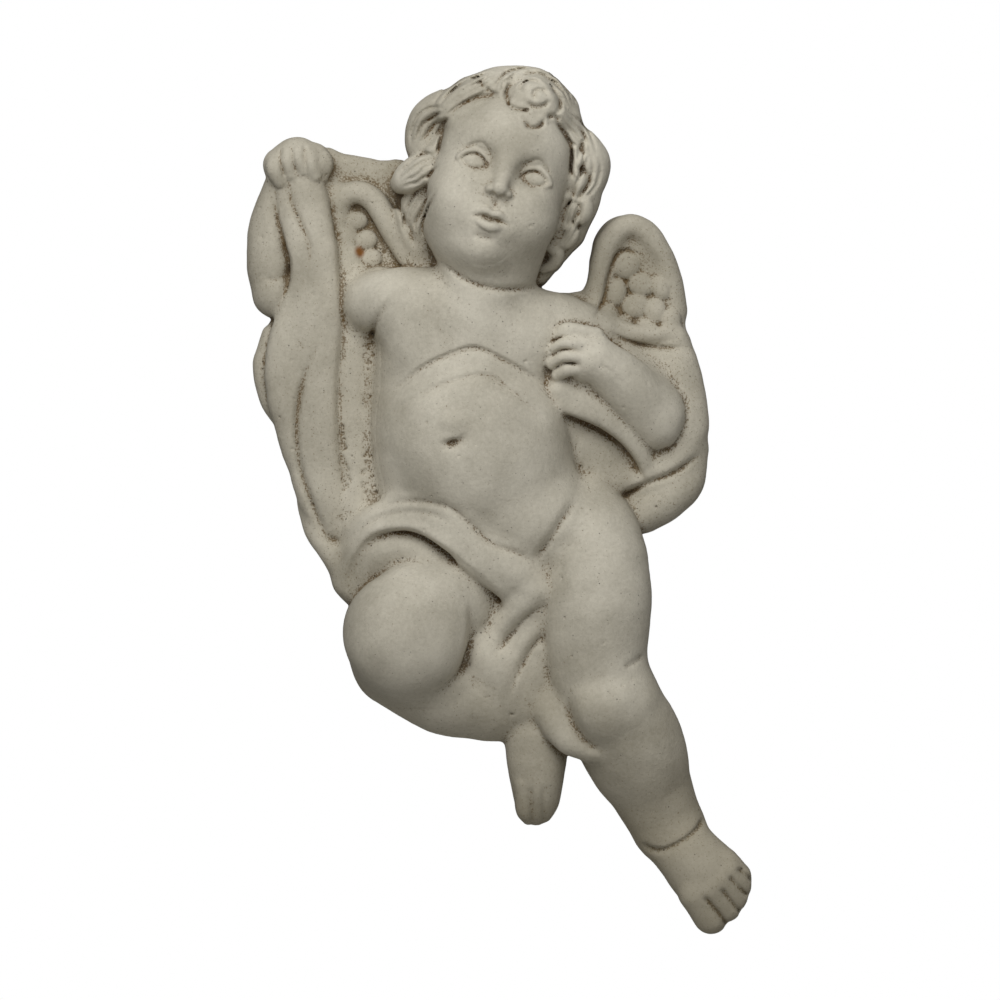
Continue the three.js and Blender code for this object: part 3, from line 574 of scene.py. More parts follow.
def add_drapery(clay):
    """Cloth falling from the raised hand, rolled round the hips and gathered in the other hand."""
    clay.tube([
        (-55.8, 36, 15, 5.6), (-53.7, 22.2, 15, 7.2), (-51.9, 8.4, 14.5, 7.4),
        (-52.2, -6.6, 14, 8.2), (-52.8, -24, 13, 8.4), (-52.5, -40.2, 12, 8),
        (-50.1, -55.2, 10.5, 7), (-45.9, -66, 9, 5),
    ], 0.8, flat=0.65)
    clay.tube([
        (-57.9, -1.5, 14, 4.4), (-60.6, -12, 14.5, 5.2), (-61.8, -22.5, 14.5, 5.4),
        (-60.3, -33, 13.5, 5), (-57.6, -45, 12, 4.2), (-54.6, -57, 10.2, 3.4),
        (-50.1, -69, 8.5, 2.8),
    ], 2.5, flat=0.8)
    clay.tube([(-60.3, 34.2, 14.5, 3), (-59.1, 25.5, 15.5, 3.6), (-57.3, 14.4, 15.5, 3.6),
        (-57.3, 3, 15, 3.4)], 1.5)
    clay.tube(
        [(-48, 33, 9, 3), (-44.4, 21, 9, 3.4), (-42.3, 3, 10, 3.6), (-41.4, -21, 10.2, 3.6),
            (-40.5, -60, 9.5, 3.6)],
        4,
    )
    clay.tube([(-65.4, -10.5, 8, 3), (-67.5, -19.5, 8.5, 3.2), (-66, -28.5, 8.5, 3.2),
        (-61.2, -37.5, 8, 2.6)], 1.5)
    clay.tube([(-55.5, -57, 6, 2.6), (-53.1, -67.5, 7.5, 2.8), (-48.6, -75, 9, 3),
        (-43.5, -81.6, 9, 3)], 1.2)
    clay.tube([
        (-42.3, -82.5, 8, 4), (-40.2, -74.4, 11.5, 4.4), (-35.4, -67.8, 15.5, 4.8),
        (-27.6, -64.2, 20, 5), (-19.8, -64.5, 23.5, 5.4), (-12.6, -67.8, 26, 5.8),
        (-5.4, -73.8, 27, 6.2), (2.4, -79.5, 26, 6.6), (9.6, -83.4, 23, 6.4), (16.8, -87, 17, 5),
    ], 4, flat=0.8)
    clay.tube([
        (-43.5, -85.2, 10, 2.4), (-40.8, -76.8, 15, 2.2), (-35.4, -69.9, 19.5, 2),
        (-27, -67.8, 24, 2), (-20.4, -69, 27, 2), (-13.2, -73.5, 29, 2), (-6, -78.9, 29, 2),
        (1.2, -84.3, 27.5, 1.8), (6, -89.1, 24.5, 1.4),
    ], 2.5)
    clay.tube([
        (-39, -87.6, 10, 3), (-35.1, -79.2, 14.5, 3), (-28.8, -74.4, 18.5, 3), (-21, -74.4, 21, 3),
        (-13.2, -79.2, 21, 3), (-5.4, -85.8, 19.5, 3), (1.8, -92.4, 17, 3),
    ], 3)
    clay.tube([
        (-37.8, -85.2, 6.5, 7), (-32.7, -76.8, 10, 8.5), (-26.4, -73.5, 12.5, 9),
        (-19.2, -74.4, 14, 9), (-11.7, -78.9, 14, 9), (-4.2, -85.2, 12, 8), (3, -91.8, 10.5, 7),
    ], 4)
    pleats = (
        ((13.2, -87, 23.5, 4.2), (8.4, -92.4, 22.5, 4.4), (3, -99, 18.5, 3.8),
            (-0.9, -104.4, 14, 3)),
        ((14.7, -94.8, 20, 3.4), (10.8, -101.4, 19.5, 3.8), (6.6, -108.6, 16.5, 3.6),
            (3.6, -117, 13, 2.8)),
        ((15.3, -105, 18, 3), (12.9, -113.4, 17, 3.4), (10.8, -120.9, 14, 3.2),
            (9.6, -127.8, 10, 2.4)),
    )
    for pleat in pleats:  # the cloth's end falls between the thighs and tucks in behind the shin
        clay.tube(pleat, 3)
    clay.tube([
        (21, -27, 21.5, 4.4), (27.6, -30.3, 20, 5), (34.8, -34.2, 17.8, 5),
        (41.1, -39.9, 15.4, 4.4), (45.3, -47.1, 12.8, 3), (47.4, -52.5, 11, 1.8),
    ], 1.5)
    clay.tube([
        (21.6, -31.2, 22, 2), (27, -33.9, 22, 2), (34.2, -37.2, 20.6, 2), (40.2, -41.7, 18, 1.9),
        (45, -47.7, 14.6, 1.6), (47.4, -52.8, 11.8, 1.3),
    ], 3)
    clay.tube([
        (19.8, -30, 18, 4), (21, -39.6, 15, 4.4), (27.6, -47.4, 12, 4.4), (34.8, -52.2, 10.5, 4),
        (42.6, -54, 10, 3.4),
    ], 2.5)
    clay.tube([(24, -37.2, 10, 8.5), (32.4, -43.8, 7.6, 8.5), (40.2, -49.2, 6.6, 6.5)], 3)
    clay.tube([(19.2, -18.6, 16, 6.5), (20.1, -28.8, 16, 6.5)], 2)
    clay.tube([(24, -22.2, 21.5, 4), (29.4, -24.6, 20, 5)], 1.5)
    clay.tube([(34.2, -7.5, 12.5, 1.8), (40.2, -9.3, 12.5, 2), (48, -10.5, 11.5, 2),
        (56.1, -10.2, 9.5, 2)], 2)
    clay.tube([
        (55.8, -13.8, 7.5, 4.2), (59.1, -25.5, 8, 4.8), (60, -37.5, 8.5, 5), (57, -46.5, 9, 5),
        (51, -51.6, 9.5, 4.4), (46.5, -54, 10, 3.4),
    ], 2.5)
    clay.tube([(61.2, -45.6, 6, 4), (58.5, -54, 6.5, 5.8), (52.8, -59.4, 7.5, 6.4),
        (46.5, -63.3, 7.5, 6)], 3)


def add_creases(clay):
    """Lines pressed into the finished forms: body folds, cloth lips and the partings of the toes."""
    # depth, width, edge, taper and line of each
    folds = (
        (0.9, 1.6, 0.6, 0.25, ((-30, -28.5), (-20.4, -20.7), (-13.2, -17.1), (-6, -14.7),
            (-1.2, -15.6), (8.1, -20.4), (15.9, -25.2))),  # under the breast
        (0.7, 1.8, 0.7, 0.25, ((-29.4, -33.6), (-18, -27.3), (-11.4, -24.6), (-3, -22.8),
            (2.7, -24.6), (12.6, -32.7), (16.8, -37.2))),  # foot of the ribs
        (1.6, 1.8, 1.0, 0.4, ((-15, -43.2), (-10.8, -43.2), (-6, -40.2))),  # navel
        (1.8, 1.1, 0.8, 0.5, ((-12.9, -42.9), (-9.3, -42.3))),
        (1.2, 1.4, None, 0.25, ((25.2, -60), (18.6, -70.2), (13.2, -78))),  # groin
        (1.2, 1, None, 0.25, ((-15, 11.4), (-6, 4.8), (4.5, 2.4), (13.5, 3.6))),  # under the chin
        (1, 1.2, None, 0.25, ((-35.7, -12), (-33.6, -6.6), (-29.4, 0))),  # armpit
        (0.5, 0.9, None, 0.25, ((-67.2, 6.3), (-64.2, 5.7),
            (-60.6, 6.9))),  # inside of the raised elbow
        (0.9, 2.6, 0.8, 0.3, ((-43.5, -87), (-40.5, -78), (-35.1, -71.1), (-27, -69),
            (-20.4, -70.2), (-13.2, -74.7), (-6, -80.4), (5.4, -90))),  # under the hip cloth's lip
        (0.7, 1.8, 0.7, 0.25, ((14.4, -91.8), (9.6, -96), (4.8, -102), (1.2, -106.8))),  # pleat
        (0.7, 1.8, 0.7, 0.25, ((15.3, -100.2), (11.7, -105.6), (7.8, -112.8),
            (5.4, -120))),  # pleat
        (1.3, 1.1, None, 0.25, ((-51.3, -13.5), (-54.9, -22.2), (-57, -31.2), (-57.6, -40.2),
            (-56.7, -49.8), (-54, -58.5), (-50.7, -66.9),
            (-47.1, -73.5))),  # between the hanging folds
        (0.5, 2, 1, 0.25, ((-41.1, -61.2), (-43.5, -54.9), (-45, -40.2), (-45.3, -25.5),
            (-43.8, -7.8), (-44.7, 8.4), (-45.9, 21.6), (-49.8, 36))),  # edge of the hanging cloth
        (1.3, 1.8, 0.4, 0.25, ((-63.9, 34.2), (-63.3, 25.2), (-61.2, 16.5), (-59.4, 10.2),
            (-60.6, 2.7), (-63.9, -4.8))),  # cloth over the raised arm
        (1, 0.9, None, 0.25, ((-60, 34.8), (-59.1, 28.8), (-56.7, 23.1), (-54, 16.8), (-53.4, 9))),
        (0.6, 1.0, None, 0.25, ((13.8, -79.5), (8.7, -75.9), (0.3, -72.9), (-6, -66.9),
            (-13.5, -61.5), (-27, -60.6), (-37.5, -63.9))),  # top of the hip cloth
        (0.45, 0.9, None, 0.25, ((-42, -75), (-36.6, -67.2), (-27.6, -63.6), (-18, -63.9),
            (-11.4, -67.2))),
        (1.8, 2.2, 0.9, 0.4, ((-16.2, -117.6), (-8.7, -109.8), (-6, -99),
            (-6, -90))),  # back of the bent knee
        (1.2, 1.6, None, 0.25, ((34.8, -135), (29.4, -132.3), (26.1, -128.7), (24, -123.6),
            (24.3, -118.2))),  # knee
        (0.6, 1, None, 0.25, ((39.6, -109.8), (42.6, -108.3), (45.9, -105.6))),
        (1.1, 1.3, 0.5, 0.08, ((45.3, -162.6), (50.7, -164.1), (55.8, -162.3), (60.6, -159),
            (63.9, -154.8))),
    )
    for depth, width, edge, taper, line in folds:
        clay.crease(line, depth, width, edge, taper)
    toes = (
        ((63.6, -177.9), (67.5, -182.4), (71.1, -187.2)),
        ((68.7, -175.5), (72.3, -180.3), (75, -183.3)),
        ((71.1, -171.9), (74.1, -175.5), (77.1, -178.2)),
        ((73.8, -169.8), (76.2, -171.9), (78.3, -173.7)),
    )
    for toe in toes:
        clay.crease(toe, 1, 0.7, taper=0.15)
    for x, z in ((12.3, -145.2), (15.9, -145.2)):
        clay.crease([(x, z), (x + 0.3, z - 12)], 0.55, 0.7, taper=0.15)
    fold = [(21, -34.2), (27, -36.6), (33.6, -39.6), (39.3, -44.1), (43.5, -49.5), (46.2, -54.6)]
    clay.crease(fold, 1.4, 3.4, 0.7)
    clay.crease([(34.8, -9.6), (41.4, -12.6), (49.5, -14.4), (60, -14.4)], 1.2, 4.6, 0.7)
    clay.crease([(31.5, -19.8), (35.4, -21.3), (40.5, -26.4)], 0.35, 0.4)  # scratch
    groove = [(31.5, -5.7), (32.7, -3), (34.2, 0.9), (34.8, 4.8), (35.4, 7.2), (36.9, 11.4),
        (38.4, 13.8), (41.1, 14.7), (44.1, 13.5)]
    clay.crease(groove, 1.0, 0.6)
    clay.crease([(62.4, -46.5), (54.6, -51.9), (46.8, -54.9), (38.7, -59.1)], 1.4, 1)
    clay.crease([(57.9, -27.6), (58.2, -36), (54.6, -43.8), (47.4, -46.8)], 0.6, 1)
    fingers = (
        ((-62.1, 45), (-62.4, 41.4), (-61.2, 36.6)),
        ((-58.8, 45.9), (-58.8, 42.6), (-57.6, 37.2)),
        ((-55.2, 45.9), (-55.2, 42.6), (-54.3, 37.2)),
        ((17.7, -14.1), (21.6, -11.7), (28.5, -12.6)),
        ((17.7, -17.7), (21.6, -15.3), (27.6, -16.5)),
        ((18.3, -21.3), (22.2, -19.2), (27, -19.8)),
    )
    for finger in fingers:
        clay.crease(finger, 0.8, 0.6)


def add_unevenness(clay):
    """The slight waviness of a hand-modelled face."""
    draw = np.random.default_rng(WAVE_SEED)
    plan = clay.field.shape[0], clay.field.shape[2]
    for size, height in WAVES:
        noise = draw.standard_normal(plan).astype(np.float32)
        wave = softened(noise, max(1, round(size / clay.step / 2)))
        wave *= height / wave.std()
        clay.field += wave[:, None, :]


def add_pits(clay):
    """Air bubbles that broke through the cast face, and the stippled ground of the cloth."""
    draw = np.random.default_rng(PIT_SEED)
    solid = clay.field < 0
    heights = clay.axes[1][clay.field.shape[1] - 1 - np.argmax(solid[:, ::-1], 1)]
    heights = np.where(solid.any(1), heights, 0)
    everywhere = ((-72, -190.5), (79.5, 69)), BUBBLES, BUBBLE_SIZES, 0.1
    stipple = ((-45, -60), (-29.4, -9)), STIPPLES, STIPPLE_SIZES, 0.7
    for (first, last), count, sizes, lift in (everywhere, stipple):
        for x, z, size in draw.uniform((*first, sizes[0]), (*last, sizes[1]), (count, 3)):
            i, k = (int((c - low) / clay.step) for c, low in ((x, clay.low[0]), (z, clay.low[2])))
            height = heights[i, k]
            if height > 5 and (lift < 0.5 or height < GROUND + 4.2):
                clay.oval((x, z, height + lift * size), (size, size, size), 0.15, carve=True)


def model_figure(step):
    """The whole figure in clay, with a flat back."""
    low = (LOW.x / MM / SCALE - SIDE_ROOM, -BACK_ROOM, LOW.z / MM / SCALE - SIDE_ROOM)
    high = (
        HIGH.x / MM / SCALE + SIDE_ROOM, -LOW.y / MM / SCALE + FRONT_ROOM, HIGH.z / MM / SCALE + SIDE_ROOM,
    )
    clay = Clay(low, high, step)
    forms = (
        add_grounds, add_sling, add_wings, add_trunk, add_arms, add_legs, add_head, add_hair, add_drapery
    )
    for add in forms:
        add(clay)
    clay.fill_behind()
    for press in (add_creases, add_hair_lines, add_face_lines, add_unevenness, add_pits):
        press(clay)
    clay.cut_back()
    return clay


def linear(colour):
    """An sRGB hex colour as the linear red, green, blue and alpha that shaders take."""
    parts = [int(colour[i : i + 2], 16) / 255 for i in (1, 3, 5)]
    return [c / 12.92 if c <= 0.04045 else ((c + 0.055) / 1.055) ** 2.4 for c in parts] + [1.0]


def add_node(tree, kind, inputs, **settings):
    """Adds a node with its settings, and sets or links its inputs by name or number.

    Another node among the inputs stands for its first output in use."""
    node = tree.nodes.new(kind)
    for name, value in settings.items():
        setattr(node, name, value)
    for name, value in inputs.items():
        if isinstance(value, bpy.types.Node):
            value = next(socket for socket in value.outputs if socket.enabled)
        if isinstance(value, bpy.types.NodeSocket):
            tree.links.new(value, node.inputs[name])
        else:
            node.inputs[name].default_value = value
    return node


def metres(millimetres):
    """A drawn size in millimetres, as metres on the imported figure."""
    return millimetres * MM * SCALE


def per_metre(millimetres):
    """Repeats in a metre of a pattern that repeats every so many millimetres."""
    return 1 / metres(millimetres)


def softened(values, cells, passes=2):
    """Averages a block of values over so many cells each way, along every axis."""
    width = 2 * cells + 1
    for _ in range(passes):
        for axis in range(values.ndim):
            ends = [(0, 0)] * values.ndim
            ends[axis] = (cells + 1, cells)
            total = np.cumsum(np.pad(values, ends, mode="edge"), axis=axis, dtype=np.float64)
            later = np.take(total, range(width, total.shape[axis]), axis=axis)
            sooner = np.take(total, range(total.shape[axis] - width), axis=axis)
            values = ((later - sooner) / width).astype(np.float32)
    return values


def sampled(values, low, step, places):
    """Values of a block at places inside it, by the nearest cell."""
    cell = np.rint((places - low) / step).astype(int)
    cell = np.clip(cell, 0, np.array(values.shape) - 1)
    return values[tuple(cell.T)]


def skin(clay, name, triangles):
    """The clay's surface as a mesh of no more than that many triangles, in metres."""
    grid = openvdb.FloatGrid(REACH)
    grid.copyFromArray(np.clip(clay.field, -REACH, REACH))
    points, _, quads = grid.convertToPolygons(0.0)
    points = (points * clay.step + clay.low) * (1, -1, 1) * MM * SCALE
    mesh = bpy.data.meshes.new(name)
    mesh.from_pydata(points.tolist(), [], quads[:, ::-1].tolist())
    piece = bpy.data.objects.new(name, mesh)
    bpy.context.scene.collection.objects.link(piece)
    thinning = piece.modifiers.new("Fewer triangles", "DECIMATE")
    thinning.ratio = min(1.0, triangles / (2 * len(quads)))
    thinned = piece.evaluated_get(bpy.context.evaluated_depsgraph_get())
    piece.data = bpy.data.meshes.new_from_object(thinned)
    piece.modifiers.clear()
    bpy.data.meshes.remove(mesh)
    piece.data.name = name
    piece.data.shade_smooth()
    return piece


def mark_hollows(piece, clay):
    """Stores on each point of the skin how deep it sits in a fine crevice and in a broad hollow."""
    mesh = piece.data
    places = np.empty(3 * len(mesh.vertices), np.float32)
    mesh.vertices.foreach_get("co", places)
    places = places.reshape(-1, 3) / (MM * SCALE) * (1, -1, 1)
    close = np.clip(clay.field, -CREVICE_REACH, CREVICE_REACH)
    near = softened(close, round(CREVICE_REACH / clay.step))
    crevice = -sampled(near, clay.low, clay.step, places)
    # The broad hollow's depth later darkens the stone with painted shade; the fine crevice's depth marks
    # real soiling.
    solid = clay.field < 0
    heights = np.where(solid.any(1), clay.axes[1][::-1][np.argmax(solid[:, ::-1], 1)], 0)
    around = softened(heights.astype(np.float32), round(HOLLOW_REACH / clay.step))
    plan = places[:, (0, 2)]
    hollow = sampled(around, clay.low[[0, 2]], clay.step, plan) - places[:, 1]
    for name, values in (("crevice", crevice), ("hollow", hollow)):
        layer = mesh.attributes.new(name, "FLOAT", "POINT")
        layer.data.foreach_set("value", values.astype(np.float32))


def cast_stone(stone):
    """Cast stone, poured in a mould and left to weather.

    It looks dry and dull: cream grey in soft clouds, with fine grit, dark pinholes where air stood
    in the pour, and brown soiling in the fine crevices. The pinholes' dark is painted shade inside
    them, the same brown paints shade in the broad hollows, and a brown tint paints shade near the
    wall and towards the feet."""
    material = bpy.data.materials.new("cast stone, poured and weathered")
    material.use_nodes = True
    material.node_tree.nodes.clear()
    node = partial(add_node, material.node_tree)
    place = node("ShaderNodeTexCoord", {}).outputs["Object"]

    clouds = node(
        "ShaderNodeTexNoise", {"Vector": place, "Scale": per_metre(CLOUD_SIZE), "Detail": 5.0}
    )
    cloudy = node(
        "ShaderNodeMapRange",
        {"Value": clouds, "From Min": 0.35, "From Max": 0.65, "To Min": -0.5, "To Max": 0.4},
    )
    grit = node(
        "ShaderNodeTexNoise",
        {"Vector": place, "Scale": per_metre(GRIT_SIZE), "Detail": 4.0, "Roughness": 0.75},
    )
    mottled = node("ShaderNodeMath", {0: grit, 1: 1.1, 2: cloudy}, operation="MULTIPLY_ADD")
    body = node(
        "ShaderNodeMix", {0: mottled, 6: linear(stone.pale), 7: linear(stone.grey)}, data_type="RGBA"
    )

    # A brown stain in patches: real soiling in fine crevices, with fine specks over it, and painted shade
    # in the broad hollows.
    patches = node(
        "ShaderNodeTexNoise",
        {"Vector": place, "Scale": per_metre(PATCH_SIZE), "Detail": 6.0, "Roughness": 0.7},
    )
    patchy = node(
        "ShaderNodeMapRange",
        {"Value": patches, "From Min": 0.35, "From Max": 0.65, "To Min": 0.35, "To Max": 1.0},
    )
    crevice = node("ShaderNodeAttribute", {}, attribute_name="crevice").outputs["Fac"]
    fine = node("ShaderNodeMapRange", {"Value": crevice, "From Min": 0.06, "From Max": 0.5})
    hollow = node("ShaderNodeAttribute", {}, attribute_name="hollow").outputs["Fac"]
    # Broad hollows take up to 0.4 of the brown as painted shade.
    broad = node(
        "ShaderNodeMapRange", {"Value": hollow, "From Min": 1.0, "From Max": 8.0, "To Max": 0.4}
    )
    dirt_and_shade_depth = node("ShaderNodeMath", {0: fine, 1: broad}, operation="MAXIMUM")
    inward = node("ShaderNodeSeparateXYZ", {0: place})
    near, proud = (metres(-out) for out in (SHADE_AND_SPECKS_OUT[1], SHADE_AND_SPECKS_OUT[0]))
    # Near the wall: more painted shade, and more soiling specks.
    low = node(
        "ShaderNodeMapRange",
        {"Value": inward.outputs["Y"], "From Min": proud, "From Max": near, "To Max": 0.24},
    )
    specks = node(
        "ShaderNodeTexNoise",
        {"Vector": place, "Scale": per_metre(SPECK_SIZE), "Detail": 2.0, "Roughness": 0.6},
    )
    exposed = node("ShaderNodeMath", {0: low, 1: 0.3, 2: specks}, operation="MULTIPLY_ADD")
    speckled = node("ShaderNodeMath", {0: dirt_and_shade_depth, 1: 0.26, 2: exposed}, operation="MULTIPLY_ADD")
    speck = node(
        "ShaderNodeMapRange",
        {"Value": speckled, "From Min": 0.66, "From Max": 0.76, "To Max": 0.6},
    )
    stain_and_shade = node("ShaderNodeMath", {0: dirt_and_shade_depth, 1: patchy}, operation="MULTIPLY")
    dirt_and_shade_share = node(
        "ShaderNodeMath", {0: stain_and_shade, 1: 0.45, 2: speck}, operation="MULTIPLY_ADD", use_clamp=True
    )
    # The brown paints soiling in the crevices and shade in the broad hollows.
    dirtied_and_shaded = node("ShaderNodeMix", {0: dirt_and_shade_share, 6: body, 7: linear(stone.dirt_and_shade)}, data_type="RGBA")

    # Painted shade: a brown tint that darkens the stone near the wall and towards the feet.
    high, foot = (metres(up) for up in SHADE_DOWN)
    # Towards the feet: more painted shade.
    shade_to_feet = node(
        "ShaderNodeMapRange",
        {"Value": inward.outputs["Z"], "From Min": high, "From Max": foot, "To Max": 0.4},
    )
    painted_shade = node("ShaderNodeMath", {0: low, 1: shade_to_feet}, operation="ADD")
    shade_washed = node("ShaderNodeMix", {0: painted_shade, 6: dirtied_and_shaded, 7: linear(stone.shade_wash)}, data_type="RGBA")

    # Pinholes: more of them, and larger, where the mould was deep and air stood. Their dark colour is
    # painted shade inside them; the same mask dents the bump.
    bubbles = node("ShaderNodeTexVoronoi", {"Vector": place, "Scale": per_metre(PINHOLE_SPACING)})
    chance = node("ShaderNodeSeparateColor", {"Color": bubbles.outputs["Color"]})
    likely = node(
        "ShaderNodeMath", {0: dirt_and_shade_depth, 1: 0.7, 2: chance.outputs["Red"]}, operation="MULTIPLY_ADD"
    )
    size = node(
        "ShaderNodeMapRange",
        {"Value": likely, "From Min": 0.62, "From Max": 1.2, "To Min": 0.001, "To Max": 0.3},
    )
    hole = node(
        "ShaderNodeMapRange",
        {"Value": bubbles.outputs["Distance"], "From Max": size, "To Min": 1.0, "To Max": 0.0},
        interpolation_type="SMOOTHSTEP",
    )
    pinhole_shaded = node("ShaderNodeMix", {0: hole, 6: shade_washed, 7: linear(stone.pinhole_shade)}, data_type="RGBA")

    middle = [metres(c) for c in RUST_PLACE]
    spot = node("ShaderNodeVectorMath", {0: place, 1: middle}, operation="DISTANCE")
    core, rim = metres(RUST_CORE * RUST_SIZE), metres(RUST_SIZE)
    rusty = node(
        "ShaderNodeMapRange",
        {"Value": spot, "From Min": core, "From Max": rim, "To Min": 0.95, "To Max": 0.0},
        interpolation_type="SMOOTHSTEP",
    )
    stained = node("ShaderNodeMix", {0: rusty, 6: pinhole_shaded, 7: linear(stone.rust)}, data_type="RGBA")

    dents = node("ShaderNodeMath", {0: hole, 1: -1.5, 2: grit}, operation="MULTIPLY_ADD")
    bump = node("ShaderNodeBump", {"Height": dents, "Strength": 0.8, "Distance": stone.grit_height})
    surface = node(
        "ShaderNodeBsdfPrincipled",
        {
            "Base Color": stained,
            "Roughness": stone.roughness,
            "IOR": 1.5,
            "Specular IOR Level": 0.3,
            "Normal": bump,
        },
    )
    node("ShaderNodeOutputMaterial", {"Surface": surface})
    return material


def painted_floor(colour):
    """Painted board, rolled on: a plain matt sheet with the faint orange peel of a roller."""
    material = bpy.data.materials.new("painted board, rolled")
    material.use_nodes = True
    material.node_tree.nodes.clear()
    node = partial(add_node, material.node_tree)
    place = node("ShaderNodeTexCoord", {}).outputs["Object"]
    peel = node("ShaderNodeTexNoise", {"Vector": place, "Scale": per_metre(PEEL_SIZE)})
    bump = node("ShaderNodeBump", {"Height": peel, "Strength": 0.1, "Distance": PEEL_HEIGHT})
    surface = node(
        "ShaderNodeBsdfPrincipled", {"Base Color": linear(colour), "Roughness": 0.7, "Normal": bump}
    )
    node("ShaderNodeOutputMaterial", {"Surface": surface})
    return material


class PuttoFigureSettings(bpy.types.PropertyGroup):
    """How finely the figure is modelled."""

    step: FloatProperty(
        name="Clay step",
        description="Spacing of the block that the figure is modelled in",
        default=0.0005,
        min=0.0003,
        unit="LENGTH",
        precision=5,
    )
    triangles: IntProperty(
        name="Triangles",
        description="Most triangles that the finished skin may have",
        default=192000,
        min=20000,
    )


class PuttoStoneSettings(bpy.types.PropertyGroup):
    """Colours and finish of the cast stone, and of the shade painted on it."""

    pale: StringProperty(
        name="Pale stone", description="Cleanest stone, as an sRGB hex colour", default="#cec8b8"
    )
    grey: StringProperty(
        name="Grey stone", description="Greyer clouds, as an sRGB hex colour", default="#a9a393"
    )
    # Brown of the soiling in fine crevices, and of the painted shade in broad hollows.
    dirt_and_shade: StringProperty(
        name="Dirt and shade", description="Dirt in the hollows, as an sRGB hex colour", default="#5f4a2b"
    )
    # Brown tint painted as shade near the wall and towards the feet.
    shade_wash: StringProperty(
        name="Painted shade", description="Thin film low on the figure, as an sRGB hex colour", default="#7f7459"
    )
    # Dark painted as shade inside the pinholes.
    pinhole_shade: StringProperty(
        name="Pinholes", description="Air holes, as an sRGB hex colour", default="#3d362b"
    )
    rust: StringProperty(
        name="Rust", description="Rust spot, as an sRGB hex colour", default="#7c4a0a"
    )
    roughness: FloatProperty(
        name="Roughness",
        description="How dull the dry stone is",
        default=0.85,
        min=0,
        max=1,
        subtype="FACTOR",
    )
    grit_height: FloatProperty(
        name="Grit height",
        description="How far the grit stands out",
        default=0.00025,
        unit="LENGTH",
        precision=5,
    )


class PuttoStageSettings(bpy.types.PropertyGroup):
    """The studio."""

    view_width: FloatProperty(
        name="Width in view", description="Width that the picture takes in", default=0.3, unit="LENGTH"
    )
    view_middle: FloatVectorProperty(
        name="Middle of the view",
        description="Point on the wall in the middle of the picture",
        default=(0.003, 0.0, -0.06),
        subtype="TRANSLATION",
    )
    camera_distance: FloatProperty(
        name="Camera distance", description="From the wall to the camera", default=3.0, unit="LENGTH"
    )
    key_power: FloatProperty(
        name="Key light", description="Power of the soft light from above", default=3.7, unit="POWER"
    )
    fill_power: FloatProperty(
        name="Fill light", description="Power of the soft light from the front", default=0.8, unit="POWER"
    )
    sky_strength: FloatProperty(
        name="Room light", description="Light that reaches the figure from the ceiling", default=0.36, min=0
    )
    floor_share: FloatProperty(
        name="Light from below",
        description="Room light from below, as a share",
        default=0.2,
        min=0,
        subtype="FACTOR",
    )
    floor_drop: FloatProperty(
        name="Floor below", description="From the origin down to the floor", default=1.2, unit="LENGTH"
    )
    floor_radius: FloatProperty(
        name="Floor radius", description="Radius of the round floor board", default=1.5, unit="LENGTH"
    )
    floor_colour: StringProperty(
        name="Floor", description="Paint, as an sRGB hex colour", default="#efeeea"
    )


class PuttoSettings(bpy.types.PropertyGroup):
    """All settings of the putto and its studio."""

    figure: PointerProperty(type=PuttoFigureSettings)
    stone: PointerProperty(type=PuttoStoneSettings)
    stage: PointerProperty(type=PuttoStageSettings)


class PUTTO_OT_figure(bpy.types.Operator):
    """Models the winged child and its cloth as one casting"""

    bl_idname = "putto.figure"
    bl_label = "Model the figure"

    def execute(self, context):
        settings = context.scene.putto
        clay = model_figure(settings.figure.step / MM / SCALE)
        piece = skin(clay, "putto_figure", settings.figure.triangles)
        if len(piece.data.polygons) < 10000:
            raise RuntimeError("the figure's skin came out almost empty")
        mark_hollows(piece, clay)
        piece.data.materials.append(cast_stone(settings.stone))
        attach(piece, BODY)
        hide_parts(NODE)
        return {"FINISHED"}


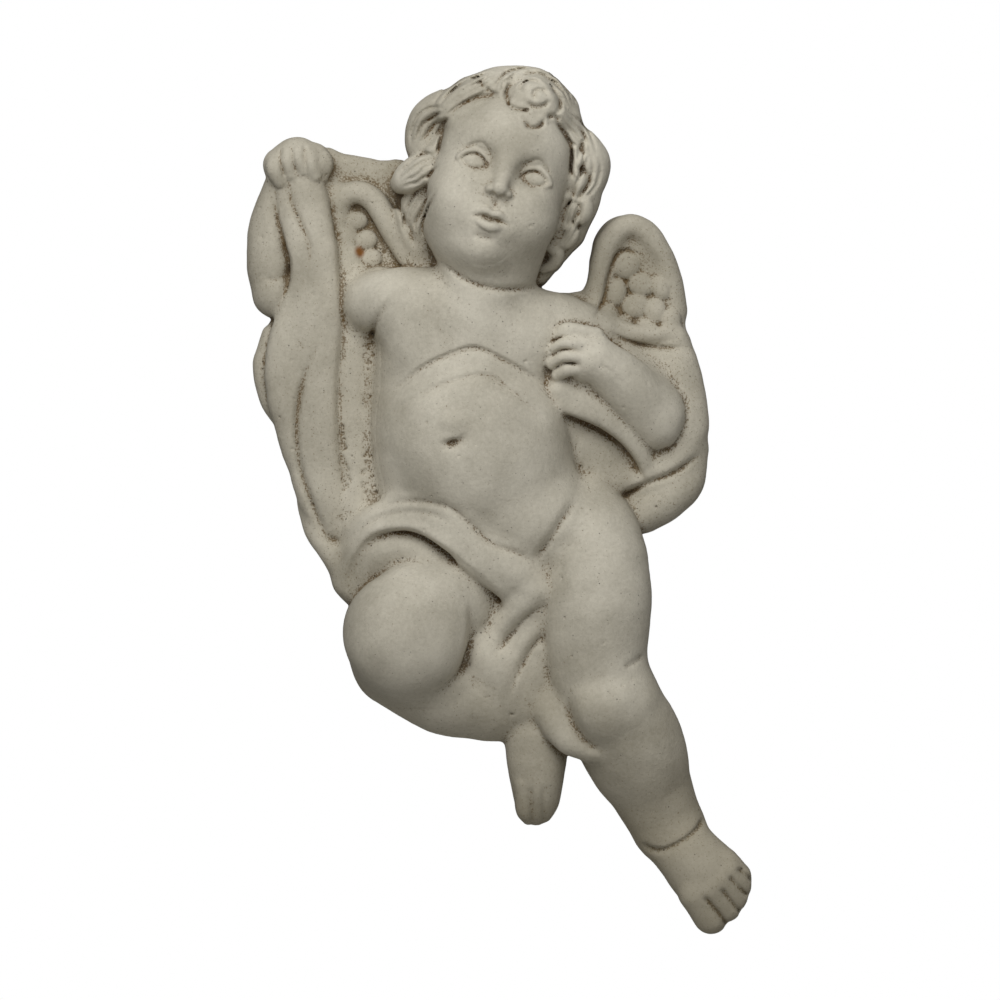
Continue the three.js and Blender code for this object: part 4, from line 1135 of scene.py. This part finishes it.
class PUTTO_OT_stage(bpy.types.Operator):
    """Sets up the floor, the lights and the camera"""

    bl_idname = "putto.stage"
    bl_label = "Set the stage"

    def execute(self, context):
        stage = context.scene.putto.stage
        middle = Vector(stage.view_middle)
        bpy.ops.mesh.primitive_circle_add(
            vertices=96, radius=stage.floor_radius, fill_type="NGON", location=(0, 0, -stage.floor_drop)
        )
        floor = context.object
        floor.name = "floor"
        floor.data.materials.append(painted_floor(stage.floor_colour))
        lights = (
            ("key_light", KEY_PLACE, KEY_SIZE, stage.key_power),
            ("fill_light", FILL_PLACE, FILL_SIZE, stage.fill_power),
        )
        for name, place, size, power in lights:
            lamp = bpy.data.lights.new(name, "AREA")
            lamp.size = size
            lamp.energy = power
            holder = bpy.data.objects.new(name, lamp)
            holder.location = place
            holder.rotation_euler = (middle - Vector(place)).to_track_quat("-Z", "Y").to_euler()
            context.scene.collection.objects.link(holder)
        world = bpy.data.worlds.new("white room")
        world.use_nodes = True
        world.node_tree.nodes.clear()
        node = partial(add_node, world.node_tree)
        towards = node("ShaderNodeTexCoord", {}).outputs["Generated"]
        ray = node("ShaderNodeSeparateXYZ", {0: towards})
        below = stage.sky_strength * stage.floor_share
        ceiling = node(
            "ShaderNodeMapRange",
            {"Value": ray.outputs["Z"], "From Min": -1.0, "To Min": below, "To Max": stage.sky_strength},
        )
        seen = node("ShaderNodeLightPath", {}).outputs["Is Camera Ray"]
        strength = node("ShaderNodeMapRange", {"Value": seen, "To Min": ceiling, "To Max": 1.0})
        sky = node("ShaderNodeBackground", {"Color": linear("#ffffff"), "Strength": strength})
        node("ShaderNodeOutputWorld", {"Surface": sky})
        context.scene.world = world
        context.scene.view_settings.view_transform = "Standard"
        camera = bpy.data.cameras.new("camera")
        camera.lens = camera.sensor_width * stage.camera_distance / stage.view_width
        holder = bpy.data.objects.new("camera", camera)
        holder.location = middle - Vector((0, stage.camera_distance, 0))
        holder.rotation_euler = (math.radians(90), 0, 0)
        context.scene.collection.objects.link(holder)
        context.scene.camera = holder
        return {"FINISHED"}


class PUTTO_PT_panel(bpy.types.Panel):
    """Lists the putto's operators and settings"""

    bl_idname = "PUTTO_PT_panel"
    bl_label = "Cast stone putto"
    bl_space_type = "VIEW_3D"
    bl_region_type = "UI"
    bl_category = "Putto"

    def draw(self, context):
        settings = context.scene.putto
        for operator, group in (
            (PUTTO_OT_figure, settings.figure),
            (None, settings.stone),
            (PUTTO_OT_stage, settings.stage),
        ):
            box = self.layout.box()
            if operator:
                box.operator(operator.bl_idname)
            for name in group.bl_rna.properties.keys():
                if name not in ("rna_type", "name"):
                    box.prop(group, name)


CLASSES = (
    PuttoFigureSettings,
    PuttoStoneSettings,
    PuttoStageSettings,
    PuttoSettings,
    PUTTO_OT_figure,
    PUTTO_OT_stage,
    PUTTO_PT_panel,
)


def register():
    for cls in CLASSES:
        bpy.utils.register_class(cls)
    bpy.types.Scene.putto = PointerProperty(type=PuttoSettings)


def unregister():
    del bpy.types.Scene.putto
    for cls in reversed(CLASSES):
        bpy.utils.unregister_class(cls)


def main():
    register()
    bpy.ops.putto.figure()
    bpy.ops.putto.stage()


if __name__ == "__main__":
    main()
